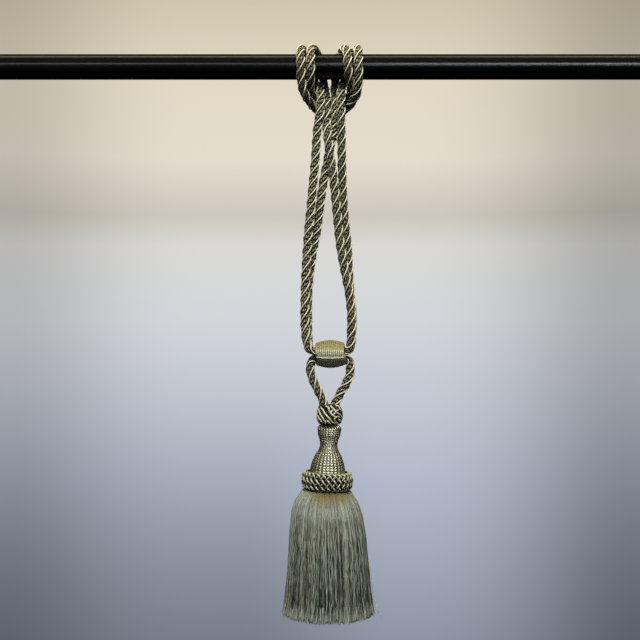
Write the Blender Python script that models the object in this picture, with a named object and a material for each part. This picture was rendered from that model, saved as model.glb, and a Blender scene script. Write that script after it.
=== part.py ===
"""Curtain tieback tassel hitched over a curtain rod.

Metres, +Z up, -Y to the front. The origin is on the rod's axis, straight above
the tassel. A twisted rope is laid in a double hitch over the rod, its two legs
run down to a thread-covered slide, and a short sling of the same rope carries
the tassel: a top knot, a turned mould, a plaited ruff and a skirt of cut yarn.
"""

import math

import bmesh
import bpy
from mathutils import Matrix, Vector

MM = 0.001
GAP = 0.3 * MM                      # between neighbouring pieces

# Rod
ROD_DIAMETER = 25.0 * MM
ROD_LENGTH = 700.0 * MM
ROD_SIDES = 64
ROD_EDGE = 0.8 * MM                 # rounded edge of its cut ends

# Rope
ROPE_DIAMETER = 8.8 * MM
ROPE_MAX_TURN = math.radians(17.0)  # between two points of the tube
ROPE_MAX_STEP = 21.0 * MM
ROPE_DENSE_STEPS = 24               # samples between two route points
HITCH_CLEARANCE = 0.8 * MM          # the turns over the rod, at the route's points
HITCH_RADIUS = ROD_DIAMETER / 2 + ROPE_DIAMETER / 2 + HITCH_CLEARANCE
HITCH_ANGLES = (0, 45, 90, 135, 180)

# Slide, a barrel that lies along X
SLIDE_CENTRE = Vector((1.3, 0.0, -287.0)) * MM
SLIDE_LENGTH = 29.4 * MM
SLIDE_MID_RADIUS = 14.0 * MM
SLIDE_END_RADIUS = 10.9 * MM
SLIDE_BORE_RADIUS = 10.1 * MM
SLIDE_LIP = 0.35 * MM
SLIDE_SIDES = 36

# Tassel: its mould and ruff lean a little to the left under the knot
TASSEL_X = 0.6 * MM
TASSEL_LEAN = math.radians(2.5)
TASSEL_SIDES = 48

KNOT_TOP = -337.2 * MM
KNOT_BOTTOM = -357.6 * MM
KNOT_RADIUS = 14.1 * MM
KNOT_EDGE_RADIUS = 10.9 * MM
KNOT_ROPE_OFFSET = 4.6 * MM         # from the axis to each sling end
KNOT_MOUTH_OFFSET = 6.2 * MM        # the same, where the ends come in at the top
KNOT_BORE_CLEARANCE = 0.45 * MM

# Mould: height of each section and its radius, top to bottom
MOULD_PROFILE_MM = (
    ("crown", -358.35, 9.4),
    ("shoulder", -359.6, 11.0),
    ("bulge", -363.4, 11.8),
    ("under bulge", -368.0, 11.3),
    ("neck top", -372.5, 9.6),
    ("waist", -378.0, 8.6),
    ("neck foot", -382.8, 9.9),
    ("flare top", -388.6, 13.4),
    ("flare", -394.8, 15.8),
    ("flare foot", -400.0, 17.2),
    ("rim", -404.4, 17.8),
    ("foot", -421.7, 17.8),
)

# Ruff: a rounded collar of two plaited tiers with a groove between them
RUFF_TOP = -404.6 * MM
RUFF_BOTTOM = -421.9 * MM
RUFF_RADIUS = 25.7 * MM
RUFF_GROOVE = 1.3 * MM
RUFF_GROOVE_WIDTH = 0.2             # of half the ruff's height
RUFF_ROUNDNESS = 2.5                # exponent of its section, 2 is an ellipse
RUFF_SECTION_POINTS = 13

# Skirt: for each section its height, its radius, the depth of its flutes, and
# how far its centre lies from the knot's
SKIRT_PROFILE_MM = (
    ("head", -422.2, 20.0, 0.0, -2.8),
    ("under the ruff", -422.8, 24.4, 0.1, -2.8),
    ("shoulder", -428.0, 27.4, 0.4, -2.9),
    ("shoulder foot", -434.5, 32.0, 0.6, -2.9),
    ("upper", -446.0, 35.8, 0.8, -2.7),
    ("upper middle", -465.0, 38.4, 1.0, -1.9),
    ("middle", -487.0, 40.1, 1.2, -1.4),
    ("lower middle", -508.0, 42.0, 1.4, -1.2),
    ("lower", -525.0, 43.4, 1.5, -1.1),
    ("cut edge", -544.0, 45.2, 1.6, -1.2),
)
SKIRT_TUFTS = 32
SKIRT_NOTCH = 8.0 * MM              # how far the cut edge rises between tufts
SKIRT_INNER_RADIUS = 30.0 * MM      # of the yarn ends that fill the underside
SKIRT_DISH_TOP = -540.0 * MM        # they are cut a little shorter at the middle
SKIRT_DISH_RADIUS = 18.0 * MM

# Colours: base colour, metallic, roughness
BLACK_PAINT = ((0.008, 0.008, 0.009), 0.0, 0.28)
ROPE_YARN = ((0.24, 0.235, 0.16), 0.0, 0.75)
STRAW_THREAD = ((0.40, 0.34, 0.19), 0.0, 0.6)
SAGE_YARN = ((0.18, 0.19, 0.14), 0.0, 0.8)

# Route of the loop rope, in millimetres. It starts inside the slide, on the
# front pass, and comes back to the same place: its two ends meet there.
RIGHT_FRONT_LEG = (
    (1.2, -4.6, -284.3), (8.5, -4.6, -284.3), (14.8, -4.6, -284.2),
    (18.4, -4.6, -283.3), (20.8, -4.6, -281.0), (21.7, -4.6, -277.4),
    (22.0, -4.6, -270.0), (22.3, -4.6, -250.0), (20.4, -4.6, -228.0),
    (15.6, -4.6, -203.0), (11.2, -4.6, -178.0), (8.5, -4.6, -152.0),
    (5.2, -4.6, -119.0), (2.9, -4.7, -99.0), (0.9, -4.7, -87.0),
    (-1.2, -4.4, -72.0), (-2.2, -1.8, -63.5), (-2.6, 2.6, -55.0),
    (-3.2, 4.1, -47.0), (-3.1, 5.6, -38.0), (-2.8, 8.6, -28.0),
    (-4.0, 13.0, -19.0), (-5.7, 16.2, -9.0),
)
INNER_BIGHT = (
    (-18.5, -15.3, -9.0), (-18.6, -9.0, -16.8), (-19.0, -0.8, -22.6),
    (-17.5, 7.0, -26.8), (-12.6, 13.4, -30.2), (-6.3, 17.0, -32.2),
    (1.7, 18.1, -33.0), (10.0, 17.0, -32.2), (16.6, 13.4, -30.2),
    (21.0, 7.0, -26.8), (21.5, -0.8, -22.6), (20.4, -9.0, -16.8),
    (18.9, -15.3, -9.0),
)
LEFT_REAR_LEG = (
    (6.8, 16.3, -9.0), (6.1, 13.3, -19.0), (6.3, 8.7, -28.0),
    (6.2, 5.7, -38.0), (6.1, 4.3, -47.0), (6.4, 4.9, -56.0),
    (4.9, 5.1, -63.5), (3.1, 4.9, -71.5), (0.6, 4.8, -83.0),
    (-1.8, 4.7, -95.0), (-6.2, 4.6, -119.0), (-8.8, 4.6, -138.0),
    (-11.7, 4.6, -161.0), (-14.9, 4.6, -178.0), (-19.0, 4.6, -203.0),
    (-20.9, 4.6, -228.0), (-21.0, 4.6, -253.0), (-20.6, 4.6, -270.0),
    (-19.8, 4.6, -277.2), (-18.8, 4.6, -280.9), (-16.3, 4.6, -283.3),
    (-12.4, 4.6, -284.2), (1.2, 4.6, -284.3), (14.8, 4.6, -284.2),
    (18.7, 4.6, -283.3), (21.2, 4.6, -280.8), (22.2, 4.6, -277.0),
)
RIGHT_REAR_LEG = (
    (23.0, 4.6, -267.0), (23.7, 4.6, -250.0), (21.8, 4.6, -228.0),
    (20.0, 4.6, -203.0), (18.8, 4.3, -178.0), (16.8, 3.6, -161.0),
    (15.1, 2.6, -141.0), (13.7, 1.0, -119.0), (13.1, -0.8, -103.0),
    (12.8, -2.3, -89.0), (12.4, -3.4, -71.0), (12.1, -3.7, -53.0),
    (12.0, -3.5, -44.0), (11.9, -2.2, -35.0), (12.0, 0.3, -27.0),
    (13.0, 5.7, -20.0), (16.0, 14.4, -10.0),
)
OUTER_BIGHT = (
    (28.9, -15.9, -9.0), (29.0, -12.4, -18.5), (27.7, -8.0, -26.8),
    (23.3, 0.2, -34.4), (18.6, 6.8, -39.2), (12.5, 11.8, -42.6),
    (6.0, 14.2, -45.0), (1.4, 14.5, -45.6), (-3.2, 14.2, -45.0),
    (-9.5, 11.8, -42.6), (-15.2, 6.8, -38.9), (-19.9, 0.2, -34.2),
    (-25.0, -8.0, -26.8), (-27.2, -12.4, -18.5), (-27.9, -15.9, -9.0),
)
LEFT_FRONT_LEG = (
    (-14.9, 14.4, -10.0), (-10.4, 5.6, -20.0), (-8.3, 0.3, -27.0),
    (-8.6, -2.2, -35.0), (-9.0, -3.6, -44.0), (-9.5, -3.9, -51.0),
    (-10.9, -3.6, -58.0), (-11.9, -3.3, -67.0), (-13.4, -3.0, -91.0),
    (-16.0, -3.1, -119.0), (-18.5, -3.4, -145.0), (-20.2, -3.9, -162.0),
    (-21.4, -4.3, -178.0), (-22.9, -4.6, -203.0), (-23.8, -4.6, -228.0),
    (-24.1, -4.6, -250.0), (-23.5, -4.6, -265.0), (-22.4, -4.6, -273.8),
    (-20.6, -4.6, -279.7), (-17.4, -4.6, -283.2), (-12.8, -4.6, -284.2),
    (-6.0, -4.6, -284.3), (0.9, -4.6, -284.3),
)
# Where each of the four turns over the rod leaves the back of the rod,
# crosses its top and reaches its front, along X in millimetres.
INNER_LEFT_TURN = (-6.2, -10.0, -15.0, -18.0, -18.3)
INNER_RIGHT_TURN = (7.2, 10.7, 14.7, 17.7, 18.1)
OUTER_RIGHT_TURN = (16.7, 22.3, 27.5, 28.9, 28.7)
OUTER_LEFT_TURN = (-15.7, -21.3, -26.6, -28.2, -28.0)

# Route of the sling rope, in millimetres, from one end in the top knot, up,
# through the slide's bore and down to the other end in the knot.
SLING_ROUTE = (
    (-4.0, 0.0, -357.0), (-4.0, 0.0, -348.0), (-4.1, 0.0, -341.0),
    (-6.3, 0.0, -333.0), (-10.0, 0.0, -325.0), (-14.6, 0.0, -316.0),
    (-17.8, 0.0, -307.5), (-18.7, 0.0, -301.5), (-18.6, 0.0, -297.7),
    (-17.9, 0.0, -295.0), (-16.0, 0.0, -293.1), (-13.3, 0.0, -292.4),
    (-5.0, 0.0, -292.3), (7.6, 0.0, -292.3), (16.0, 0.0, -292.4),
    (18.7, 0.0, -293.1), (20.6, 0.0, -295.0), (21.3, 0.0, -297.7),
    (21.4, 0.0, -301.5), (20.7, 0.0, -307.5),
    (17.4, 0.0, -316.0), (12.0, 0.0, -325.0), (7.8, 0.0, -333.0),
    (5.4, 0.0, -341.0), (5.3, 0.0, -348.0), (5.3, 0.0, -357.0),
)


def clear_scene():
    """Remove whatever objects the file starts with."""
    for old in list(bpy.data.objects):
        bpy.data.objects.remove(old, do_unlink=True)


def make_material(name, finish):
    """Return a plain Principled material of a colour, metallic and roughness."""
    colour, metallic, roughness = finish
    material = bpy.data.materials.new(name)
    material.use_nodes = True
    shader = material.node_tree.nodes["Principled BSDF"]
    shader.inputs["Base Color"].default_value = (*colour, 1.0)
    shader.inputs["Metallic"].default_value = metallic
    shader.inputs["Roughness"].default_value = roughness
    return material


def add_mesh_object(name, bm, finish, sharp_angle=math.radians(40.0)):
    """Turn a bmesh into a smooth-shaded object with its own material."""
    bmesh.ops.remove_doubles(bm, verts=bm.verts, dist=1e-7)
    bmesh.ops.recalc_face_normals(bm, faces=bm.faces)
    mesh = bpy.data.meshes.new(name)
    bm.to_mesh(mesh)
    bm.free()
    mesh.shade_smooth()
    mesh.set_sharp_from_angle(angle=sharp_angle)
    mesh.materials.append(make_material(name, finish))
    piece = bpy.data.objects.new(name, mesh)
    bpy.context.scene.collection.objects.link(piece)
    return piece


def bridge_rings(bm, rings, closed_section):
    """Join rings of vertices by quads, and the last to the first on request."""
    pairs = list(zip(rings, rings[1:]))
    if closed_section:
        pairs.append((rings[-1], rings[0]))
    for ring_a, ring_b in pairs:
        count = len(ring_a)
        for i in range(count):
            j = (i + 1) % count
            bm.faces.new((ring_a[i], ring_a[j], ring_b[j], ring_b[i]))


def turned_ring(name, profile, sides, finish):
    """Spin a closed profile of (radius, height) points around the Z axis."""
    bm = bmesh.new()
    verts = [bm.verts.new((radius, 0.0, height)) for radius, height in profile]
    edges = [bm.edges.new((a, b)) for a, b in zip(verts, verts[1:] + verts[:1])]
    bmesh.ops.spin(
        bm, geom=verts + edges, cent=(0, 0, 0), axis=(0, 0, 1),
        angle=2 * math.pi, steps=sides, use_merge=True,
    )
    return add_mesh_object(name, bm, finish)


def build_rod():
    """The plain round rod, with both ends cut square and their edges eased."""
    radius = ROD_DIAMETER / 2
    half = ROD_LENGTH / 2
    stations = (
        (-half, radius - ROD_EDGE), (-half + ROD_EDGE, radius),
        (half - ROD_EDGE, radius), (half, radius - ROD_EDGE),
    )
    bm = bmesh.new()
    rings = []
    for x, ring_radius in stations:
        circle = bmesh.ops.create_circle(
            bm, cap_ends=False, radius=ring_radius, segments=ROD_SIDES,
            matrix=Matrix.Translation((x, 0, 0)) @ Matrix.Rotation(math.pi / 2, 4, "Y"),
        )
        rings.append(circle["verts"])
    bridge_rings(bm, rings, closed_section=False)
    bm.faces.new(rings[0])
    bm.faces.new(rings[-1])
    return add_mesh_object("rod", bm, BLACK_PAINT)


def turn_over_rod(along_x, forwards):
    """Points of one turn over the rod, back to front or front to back."""
    points = []
    for x, angle in zip(along_x, HITCH_ANGLES):
        phase = math.radians(angle)
        points.append(Vector((
            x * MM, HITCH_RADIUS * math.cos(phase), HITCH_RADIUS * math.sin(phase),
        )))
    return points if forwards else points[::-1]


def in_metres(points):
    """Turn a table of millimetre points into vectors in metres."""
    return [Vector(point) * MM for point in points]


def loop_route():
    """The whole route of the loop rope, hitch and both legs."""
    route = in_metres(RIGHT_FRONT_LEG)
    route += turn_over_rod(INNER_LEFT_TURN, forwards=True)
    route += in_metres(INNER_BIGHT)
    route += turn_over_rod(INNER_RIGHT_TURN, forwards=False)
    route += in_metres(LEFT_REAR_LEG + RIGHT_REAR_LEG)
    route += turn_over_rod(OUTER_RIGHT_TURN, forwards=True)
    route += in_metres(OUTER_BIGHT)
    route += turn_over_rod(OUTER_LEFT_TURN, forwards=False)
    route += in_metres(LEFT_FRONT_LEG)
    return route


def smooth_curve(route):
    """Sample a centripetal Catmull-Rom curve through the route's points."""
    ends = [2 * route[0] - route[1], *route, 2 * route[-1] - route[-2]]
    samples = [route[0].copy()]
    for p0, p1, p2, p3 in zip(ends, ends[1:], ends[2:], ends[3:]):
        t1 = (p1 - p0).length ** 0.5
        t2 = t1 + (p2 - p1).length ** 0.5
        t3 = t2 + (p3 - p2).length ** 0.5
        for step in range(1, ROPE_DENSE_STEPS + 1):
            t = t1 + (t2 - t1) * step / ROPE_DENSE_STEPS
            a1 = p0.lerp(p1, t / t1)
            a2 = p1.lerp(p2, (t - t1) / (t2 - t1))
            a3 = p2.lerp(p3, (t - t2) / (t3 - t2))
            b1 = a1.lerp(a2, t / t2)
            b2 = a2.lerp(a3, (t - t1) / (t3 - t1))
            samples.append(b1.lerp(b2, (t - t1) / (t2 - t1)))
    return samples


def tube_points(samples):
    """Keep a sample wherever the rope has turned or run far enough."""
    kept = [samples[0]]
    heading = samples[1] - samples[0]
    run = 0.0
    for before, here, after in zip(samples, samples[1:], samples[2:]):
        run += (here - before).length
        turned = heading.angle(after - here)
        if turned > ROPE_MAX_TURN or run > ROPE_MAX_STEP:
            kept.append(here)
            heading = after - here
            run = 0.0
    kept.append(samples[-1])
    return kept


def build_rope(name, route):
    """A round rope along a route, as a bevelled poly curve with capped ends."""
    points = tube_points(smooth_curve(route))
    curve = bpy.data.curves.new(name, "CURVE")
    curve.dimensions = "3D"
    curve.bevel_depth = ROPE_DIAMETER / 2
    curve.bevel_resolution = 2
    curve.render_resolution_u = 0
    curve.use_fill_caps = True
    spline = curve.splines.new("POLY")
    spline.points.add(len(points) - 1)
    for spline_point, point in zip(spline.points, points):
        spline_point.co = (*point, 1.0)
    curve.materials.append(make_material(name, ROPE_YARN))
    rope = bpy.data.objects.new(name, curve)
    bpy.context.scene.collection.objects.link(rope)
    return rope


def build_slide():
    """The barrel that gathers the ropes, bored from end to end along X."""
    half = SLIDE_LENGTH / 2
    rise = SLIDE_MID_RADIUS - SLIDE_END_RADIUS
    stations = 8
    outer = []
    for i in range(stations + 1):
        across = -1 + 2 * i / stations
        outer.append((SLIDE_END_RADIUS + rise * (1 - across ** 2), across * half))
    bore = (
        (SLIDE_BORE_RADIUS + SLIDE_LIP, half),
        (SLIDE_BORE_RADIUS, half - 2 * SLIDE_LIP),
        (SLIDE_BORE_RADIUS, -half + 2 * SLIDE_LIP),
        (SLIDE_BORE_RADIUS + SLIDE_LIP, -half),
    )
    slide = turned_ring("slide", outer + list(bore), SLIDE_SIDES, STRAW_THREAD)
    slide.rotation_euler = (0.0, math.pi / 2, 0.0)
    slide.location = SLIDE_CENTRE
    return slide


def slot_radius(angle, offset):
    """Radius of the knot's oval bore, which fits both sling ends side by side."""
    half_width = ROPE_DIAMETER / 2 + KNOT_BORE_CLEARANCE
    across, along = abs(math.cos(angle)), abs(math.sin(angle))
    if half_width * across < offset * along:
        return half_width / along
    return offset * across + math.sqrt(half_width ** 2 - (offset * along) ** 2)


def build_top_knot():
    """The turban knot, a rounded collar tied close around both sling ends."""
    height = KNOT_TOP - KNOT_BOTTOM
    swell = KNOT_RADIUS - KNOT_EDGE_RADIUS
    levels = 8
    bm = bmesh.new()
    rings = []
    for i in range(levels + 1):
        phase = math.pi * (0.08 + 0.84 * i / levels)
        radius = KNOT_EDGE_RADIUS + swell * math.sin(phase) ** 0.8
        level = KNOT_TOP - height * i / levels
        rings.append([
            bm.verts.new((radius * math.cos(a), radius * math.sin(a), level))
            for a in around(TASSEL_SIDES)
        ])
    for level, offset in ((KNOT_BOTTOM, KNOT_ROPE_OFFSET), (KNOT_TOP, KNOT_MOUTH_OFFSET)):
        ring = []
        for a in around(TASSEL_SIDES):
            radius = slot_radius(a, offset)
            ring.append(bm.verts.new((radius * math.cos(a), radius * math.sin(a), level)))
        rings.append(ring)
    bridge_rings(bm, rings, closed_section=True)
    knot = add_mesh_object("top_knot", bm, ROPE_YARN)
    knot.location.x = TASSEL_X
    return knot


def around(count):
    """Angles of a full turn, in equal steps."""
    return [2 * math.pi * i / count for i in range(count)]


def hang_under_knot(piece):
    """Lean a piece, modelled upright about the Z axis, under the knot."""
    pivot = Vector((0.0, 0.0, KNOT_BOTTOM))
    piece.rotation_euler = (0.0, TASSEL_LEAN, 0.0)
    piece.location = pivot - Matrix.Rotation(TASSEL_LEAN, 3, "Y") @ pivot
    piece.location.x += TASSEL_X


def build_mould():
    """The turned mould: crown, bulge, waist, flare, and a foot in the ruff."""
    bm = bmesh.new()
    rings = []
    for _, height, radius in MOULD_PROFILE_MM:
        circle = bmesh.ops.create_circle(
            bm, cap_ends=False, radius=radius * MM, segments=TASSEL_SIDES,
            matrix=Matrix.Translation((0, 0, height * MM)),
        )
        rings.append(circle["verts"])
    bridge_rings(bm, rings, closed_section=False)
    bm.faces.new(rings[0])
    bm.faces.new(rings[-1])
    hang_under_knot(add_mesh_object("mould", bm, STRAW_THREAD))


def build_ruff():
    """The plaited collar: two tiers, a groove between them, a plain bore."""
    bore = MOULD_PROFILE_MM[-1][2] * MM + GAP
    depth = RUFF_RADIUS - bore
    half = (RUFF_TOP - RUFF_BOTTOM) / 2
    profile = [(bore, RUFF_BOTTOM), (bore, RUFF_TOP)]
    for i in range(RUFF_SECTION_POINTS):
        phase = math.pi * (i + 0.5) / RUFF_SECTION_POINTS
        up = math.copysign(abs(math.cos(phase)) ** (2 / RUFF_ROUNDNESS), math.cos(phase))
        out = math.sin(phase) ** (2 / RUFF_ROUNDNESS)
        groove = RUFF_GROOVE * math.exp(-((up / RUFF_GROOVE_WIDTH) ** 2))
        profile.append((bore + depth * out - groove, (RUFF_TOP + RUFF_BOTTOM) / 2 + half * up))
    hang_under_knot(turned_ring("ruff", profile, TASSEL_SIDES, ROPE_YARN))


def skirt_ring(bm, height, radius, flute, centre, notch=0.0):
    """One ring of the skirt, in millimetres; its head leans with the ruff."""
    head, foot = SKIRT_PROFILE_MM[0][1], SKIRT_PROFILE_MM[-1][1]
    lean = math.tan(TASSEL_LEAN) * (height - foot) / (head - foot)
    verts = []
    for i, angle in enumerate(around(2 * SKIRT_TUFTS)):
        is_tuft = i % 2 == 0
        wave = flute * (1 if is_tuft else -1) * (1 + 0.35 * math.sin(3 * angle + 0.8))
        uneven = 0.5 * math.sin(5 * angle) + 0.5 * math.cos(2 * angle + 1.0)
        lift = notch * ((0 if is_tuft else 1) + 0.25 * uneven)
        x = (radius + wave) * math.cos(angle)
        y = (radius + wave) * math.sin(angle)
        verts.append(bm.verts.new(Vector((x + centre, y, height + lift - lean * x)) * MM))
    return verts


def build_skirt():
    """The yarn skirt: fluted, flared, and cut into tufts along its lower edge."""
    notch = SKIRT_NOTCH / MM
    _, foot, _, _, centre = SKIRT_PROFILE_MM[-1]
    bm = bmesh.new()
    rings = [
        skirt_ring(bm, height, radius, flute, middle, notch if height == foot else 0.0)
        for _, height, radius, flute, middle in SKIRT_PROFILE_MM
    ]
    rings.append(skirt_ring(bm, foot + 0.2 * notch, SKIRT_INNER_RADIUS / MM, 0.5, centre, notch))
    rings.append(skirt_ring(bm, SKIRT_DISH_TOP / MM, SKIRT_DISH_RADIUS / MM, 0.3, centre))
    bridge_rings(bm, rings, closed_section=False)
    bm.faces.new(rings[0])
    bm.faces.new(rings[-1])
    skirt = add_mesh_object("skirt", bm, SAGE_YARN)
    skirt.location.x = TASSEL_X


def main():
    """Build every piece where it hangs."""
    clear_scene()
    build_rod()
    build_rope("rope_loop", loop_route())
    build_rope("rope_sling", in_metres(SLING_ROUTE))
    build_slide()
    build_top_knot()
    build_mould()
    build_ruff()
    build_skirt()


main()
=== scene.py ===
"""Looks of a curtain tieback tassel that is hitched over a curtain rod.

Metres, +Z up, -Y to the front. A twisted rope with pale gimp cords in its
grooves is hitched over a black rod and gathered by a thread-covered slide. A
sling of the same rope carries the tassel: a turban knot, a ribbed mould, a
plaited ruff and a skirt of cut yarn.
"""

import logging
import math
from collections.abc import Callable
from dataclasses import dataclass, field
from enum import Enum

import bpy
import numpy as np
from bpy.types import Material, NodeSocket, Object
from mathutils import Matrix, Vector


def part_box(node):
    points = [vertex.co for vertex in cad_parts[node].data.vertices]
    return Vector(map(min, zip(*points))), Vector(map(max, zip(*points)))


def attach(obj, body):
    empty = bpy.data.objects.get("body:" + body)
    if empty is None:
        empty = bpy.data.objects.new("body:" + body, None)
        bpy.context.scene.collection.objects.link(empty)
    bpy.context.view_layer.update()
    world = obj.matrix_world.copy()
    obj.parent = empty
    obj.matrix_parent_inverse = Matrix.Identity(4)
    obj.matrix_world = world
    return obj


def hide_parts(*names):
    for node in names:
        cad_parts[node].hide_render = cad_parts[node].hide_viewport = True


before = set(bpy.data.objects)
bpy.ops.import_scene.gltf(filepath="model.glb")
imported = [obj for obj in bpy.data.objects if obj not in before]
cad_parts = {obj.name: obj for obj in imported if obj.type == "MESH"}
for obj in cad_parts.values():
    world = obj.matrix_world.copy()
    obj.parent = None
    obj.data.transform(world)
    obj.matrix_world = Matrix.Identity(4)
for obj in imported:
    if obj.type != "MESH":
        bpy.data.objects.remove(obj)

Array = np.ndarray

LOG = logging.getLogger("tassel")
MM = 0.001
TAU = 2.0 * math.pi
BODY = "root"
SMOOTH_ANGLE = math.radians(50)     # edges sharper than this are shaded sharp
PROFILE_STEP = 0.1                  # of a smooth profile, in millimetres
CORE_LEAST = 1 * MM                 # least radius of a core's ring
ASKEW = (0.31, 0.72, 0.62)          # a direction that no strand starts along

# Rod and hitch
ROD_RADIUS = 12.5 * MM
ROPE_DIAMETER = 8.8 * MM
HITCH_RADIUS = ROD_RADIUS + ROPE_DIAMETER / 2 + 0.8 * MM
HITCH_ANGLES = (0, 45, 90, 135, 180)
ROUTE_SAMPLES = 24                  # between two points of a route

# The tassel hangs under the knot, and its mould and ruff lean to the left
TASSEL_X = 0.6 * MM
TASSEL_LEAN = math.radians(2.5)
KNOT_BOTTOM = -357.6 * MM

# Route of the loop rope, in millimetres. It starts inside the slide, on the
# front pass, and comes back to the same place: its two ends meet there.
RIGHT_FRONT_LEG = (
    (1.2, -4.6, -284.3), (8.5, -4.6, -284.3), (14.8, -4.6, -284.2), (18.4, -4.6, -283.3),
    (20.8, -4.6, -281), (21.7, -4.6, -277.4), (22, -4.6, -270), (22.3, -4.6, -250),
    (20.4, -4.6, -228), (15.6, -4.6, -203), (11.2, -4.6, -178), (8.5, -4.6, -152),
    (5.2, -4.6, -119), (2.9, -4.7, -99), (0.9, -4.7, -87), (-1.2, -4.4, -72), (-2.2, -1.8, -63.5),
    (-2.6, 2.6, -55), (-3.2, 4.1, -47), (-3.1, 5.6, -38), (-2.8, 8.6, -28), (-4, 13, -19),
    (-5.7, 16.2, -9),
)
INNER_BIGHT = (
    (-18.5, -15.3, -9), (-18.6, -9, -16.8), (-19, -0.8, -22.6), (-17.5, 7, -26.8),
    (-12.6, 13.4, -30.2), (-6.3, 17, -32.2), (1.7, 18.1, -33), (10, 17, -32.2),
    (16.6, 13.4, -30.2), (21, 7, -26.8), (21.5, -0.8, -22.6), (20.4, -9, -16.8),
    (18.9, -15.3, -9),
)
LEFT_REAR_LEG = (
    (6.8, 16.3, -9), (6.1, 13.3, -19), (6.3, 8.7, -28), (6.2, 5.7, -38), (6.1, 4.3, -47),
    (6.4, 4.9, -56), (4.9, 5.1, -63.5), (3.1, 4.9, -71.5), (0.6, 4.8, -83), (-1.8, 4.7, -95),
    (-6.2, 4.6, -119), (-8.8, 4.6, -138), (-11.7, 4.6, -161), (-14.9, 4.6, -178),
    (-19, 4.6, -203), (-20.9, 4.6, -228), (-21, 4.6, -253), (-20.6, 4.6, -270),
    (-19.8, 4.6, -277.2), (-18.8, 4.6, -280.9), (-16.3, 4.6, -283.3), (-12.4, 4.6, -284.2),
    (1.2, 4.6, -284.3), (14.8, 4.6, -284.2), (18.7, 4.6, -283.3), (21.2, 4.6, -280.8),
    (22.2, 4.6, -277),
)
RIGHT_REAR_LEG = (
    (23, 4.6, -267), (23.7, 4.6, -250), (21.8, 4.6, -228), (20, 4.6, -203), (18.8, 4.3, -178),
    (16.8, 3.6, -161), (15.1, 2.6, -141), (13.7, 1, -119), (13.1, -0.8, -103), (12.8, -2.3, -89),
    (12.4, -3.4, -71), (12.1, -3.7, -53), (12, -3.5, -44), (11.9, -2.2, -35), (12, 0.3, -27),
    (13, 5.7, -20), (16, 14.4, -10),
)
OUTER_BIGHT = (
    (28.9, -15.9, -9), (29, -12.4, -18.5), (27.7, -8, -26.8), (23.3, 0.2, -34.4),
    (18.6, 6.8, -39.2), (12.5, 11.8, -42.6), (6, 14.2, -45), (1.4, 14.5, -45.6),
    (-3.2, 14.2, -45), (-9.5, 11.8, -42.6), (-15.2, 6.8, -38.9), (-19.9, 0.2, -34.2),
    (-25, -8, -26.8), (-27.2, -12.4, -18.5), (-27.9, -15.9, -9),
)
LEFT_FRONT_LEG = (
    (-14.9, 14.4, -10), (-10.4, 5.6, -20), (-8.3, 0.3, -27), (-8.6, -2.2, -35), (-9, -3.6, -44),
    (-9.5, -3.9, -51), (-10.9, -3.6, -58), (-11.9, -3.3, -67), (-13.4, -3, -91),
    (-16, -3.1, -119), (-18.5, -3.4, -145), (-20.2, -3.9, -162), (-21.4, -4.3, -178),
    (-22.9, -4.6, -203), (-23.8, -4.6, -228), (-24.1, -4.6, -250), (-23.5, -4.6, -265),
    (-22.4, -4.6, -273.8), (-20.6, -4.6, -279.7), (-17.4, -4.6, -283.2), (-12.8, -4.6, -284.2),
    (-6, -4.6, -284.3), (0.9, -4.6, -284.3),
)
# Where each of the four turns over the rod leaves the back of the rod,
# crosses its top and reaches its front, along X in millimetres.
INNER_LEFT_TURN = (-6.2, -10, -15, -18, -18.3)
INNER_RIGHT_TURN = (7.2, 10.7, 14.7, 17.7, 18.1)
OUTER_RIGHT_TURN = (16.7, 22.3, 27.5, 28.9, 28.7)
OUTER_LEFT_TURN = (-15.7, -21.3, -26.6, -28.2, -28)

# Route of the sling rope, in millimetres, from one end in the top knot, up,
# through the slide's bore and down to the other end in the knot.
SLING_ROUTE = (
    (-4, 0, -357), (-4, 0, -348), (-4.1, 0, -341), (-6.3, 0, -333), (-10, 0, -325),
    (-14.6, 0, -316), (-17.8, 0, -307.5), (-18.7, 0, -301.5), (-18.6, 0, -297.7),
    (-17.9, 0, -295), (-16, 0, -293.1), (-13.3, 0, -292.4), (-5, 0, -292.3), (7.6, 0, -292.3),
    (16, 0, -292.4), (18.7, 0, -293.1), (20.6, 0, -295), (21.3, 0, -297.7), (21.4, 0, -301.5),
    (20.7, 0, -307.5), (17.4, 0, -316), (12, 0, -325), (7.8, 0, -333), (5.4, 0, -341),
    (5.3, 0, -348), (5.3, 0, -357),
)

# Mould: height of each section and its radius, top to bottom, in millimetres
MOULD_PROFILE = (
    (-358.35, 9.4), (-359.6, 11), (-363.4, 11.8), (-368, 11.3), (-372.5, 9.6), (-378, 8.6),
    (-382.8, 9.9), (-388.6, 13.4), (-394.8, 15.8), (-400, 17.2), (-404.4, 17.8), (-408, 17.8),
)

# Height and radius of each section of its crown, from the middle out
MOULD_CROWN = (
    (-358.15, 4.5), (-358.25, 8.4), (-358.7, 9.9), (-359.8, 11), (-361.2, 11.5), (-362.8, 11.75),
)

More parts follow.
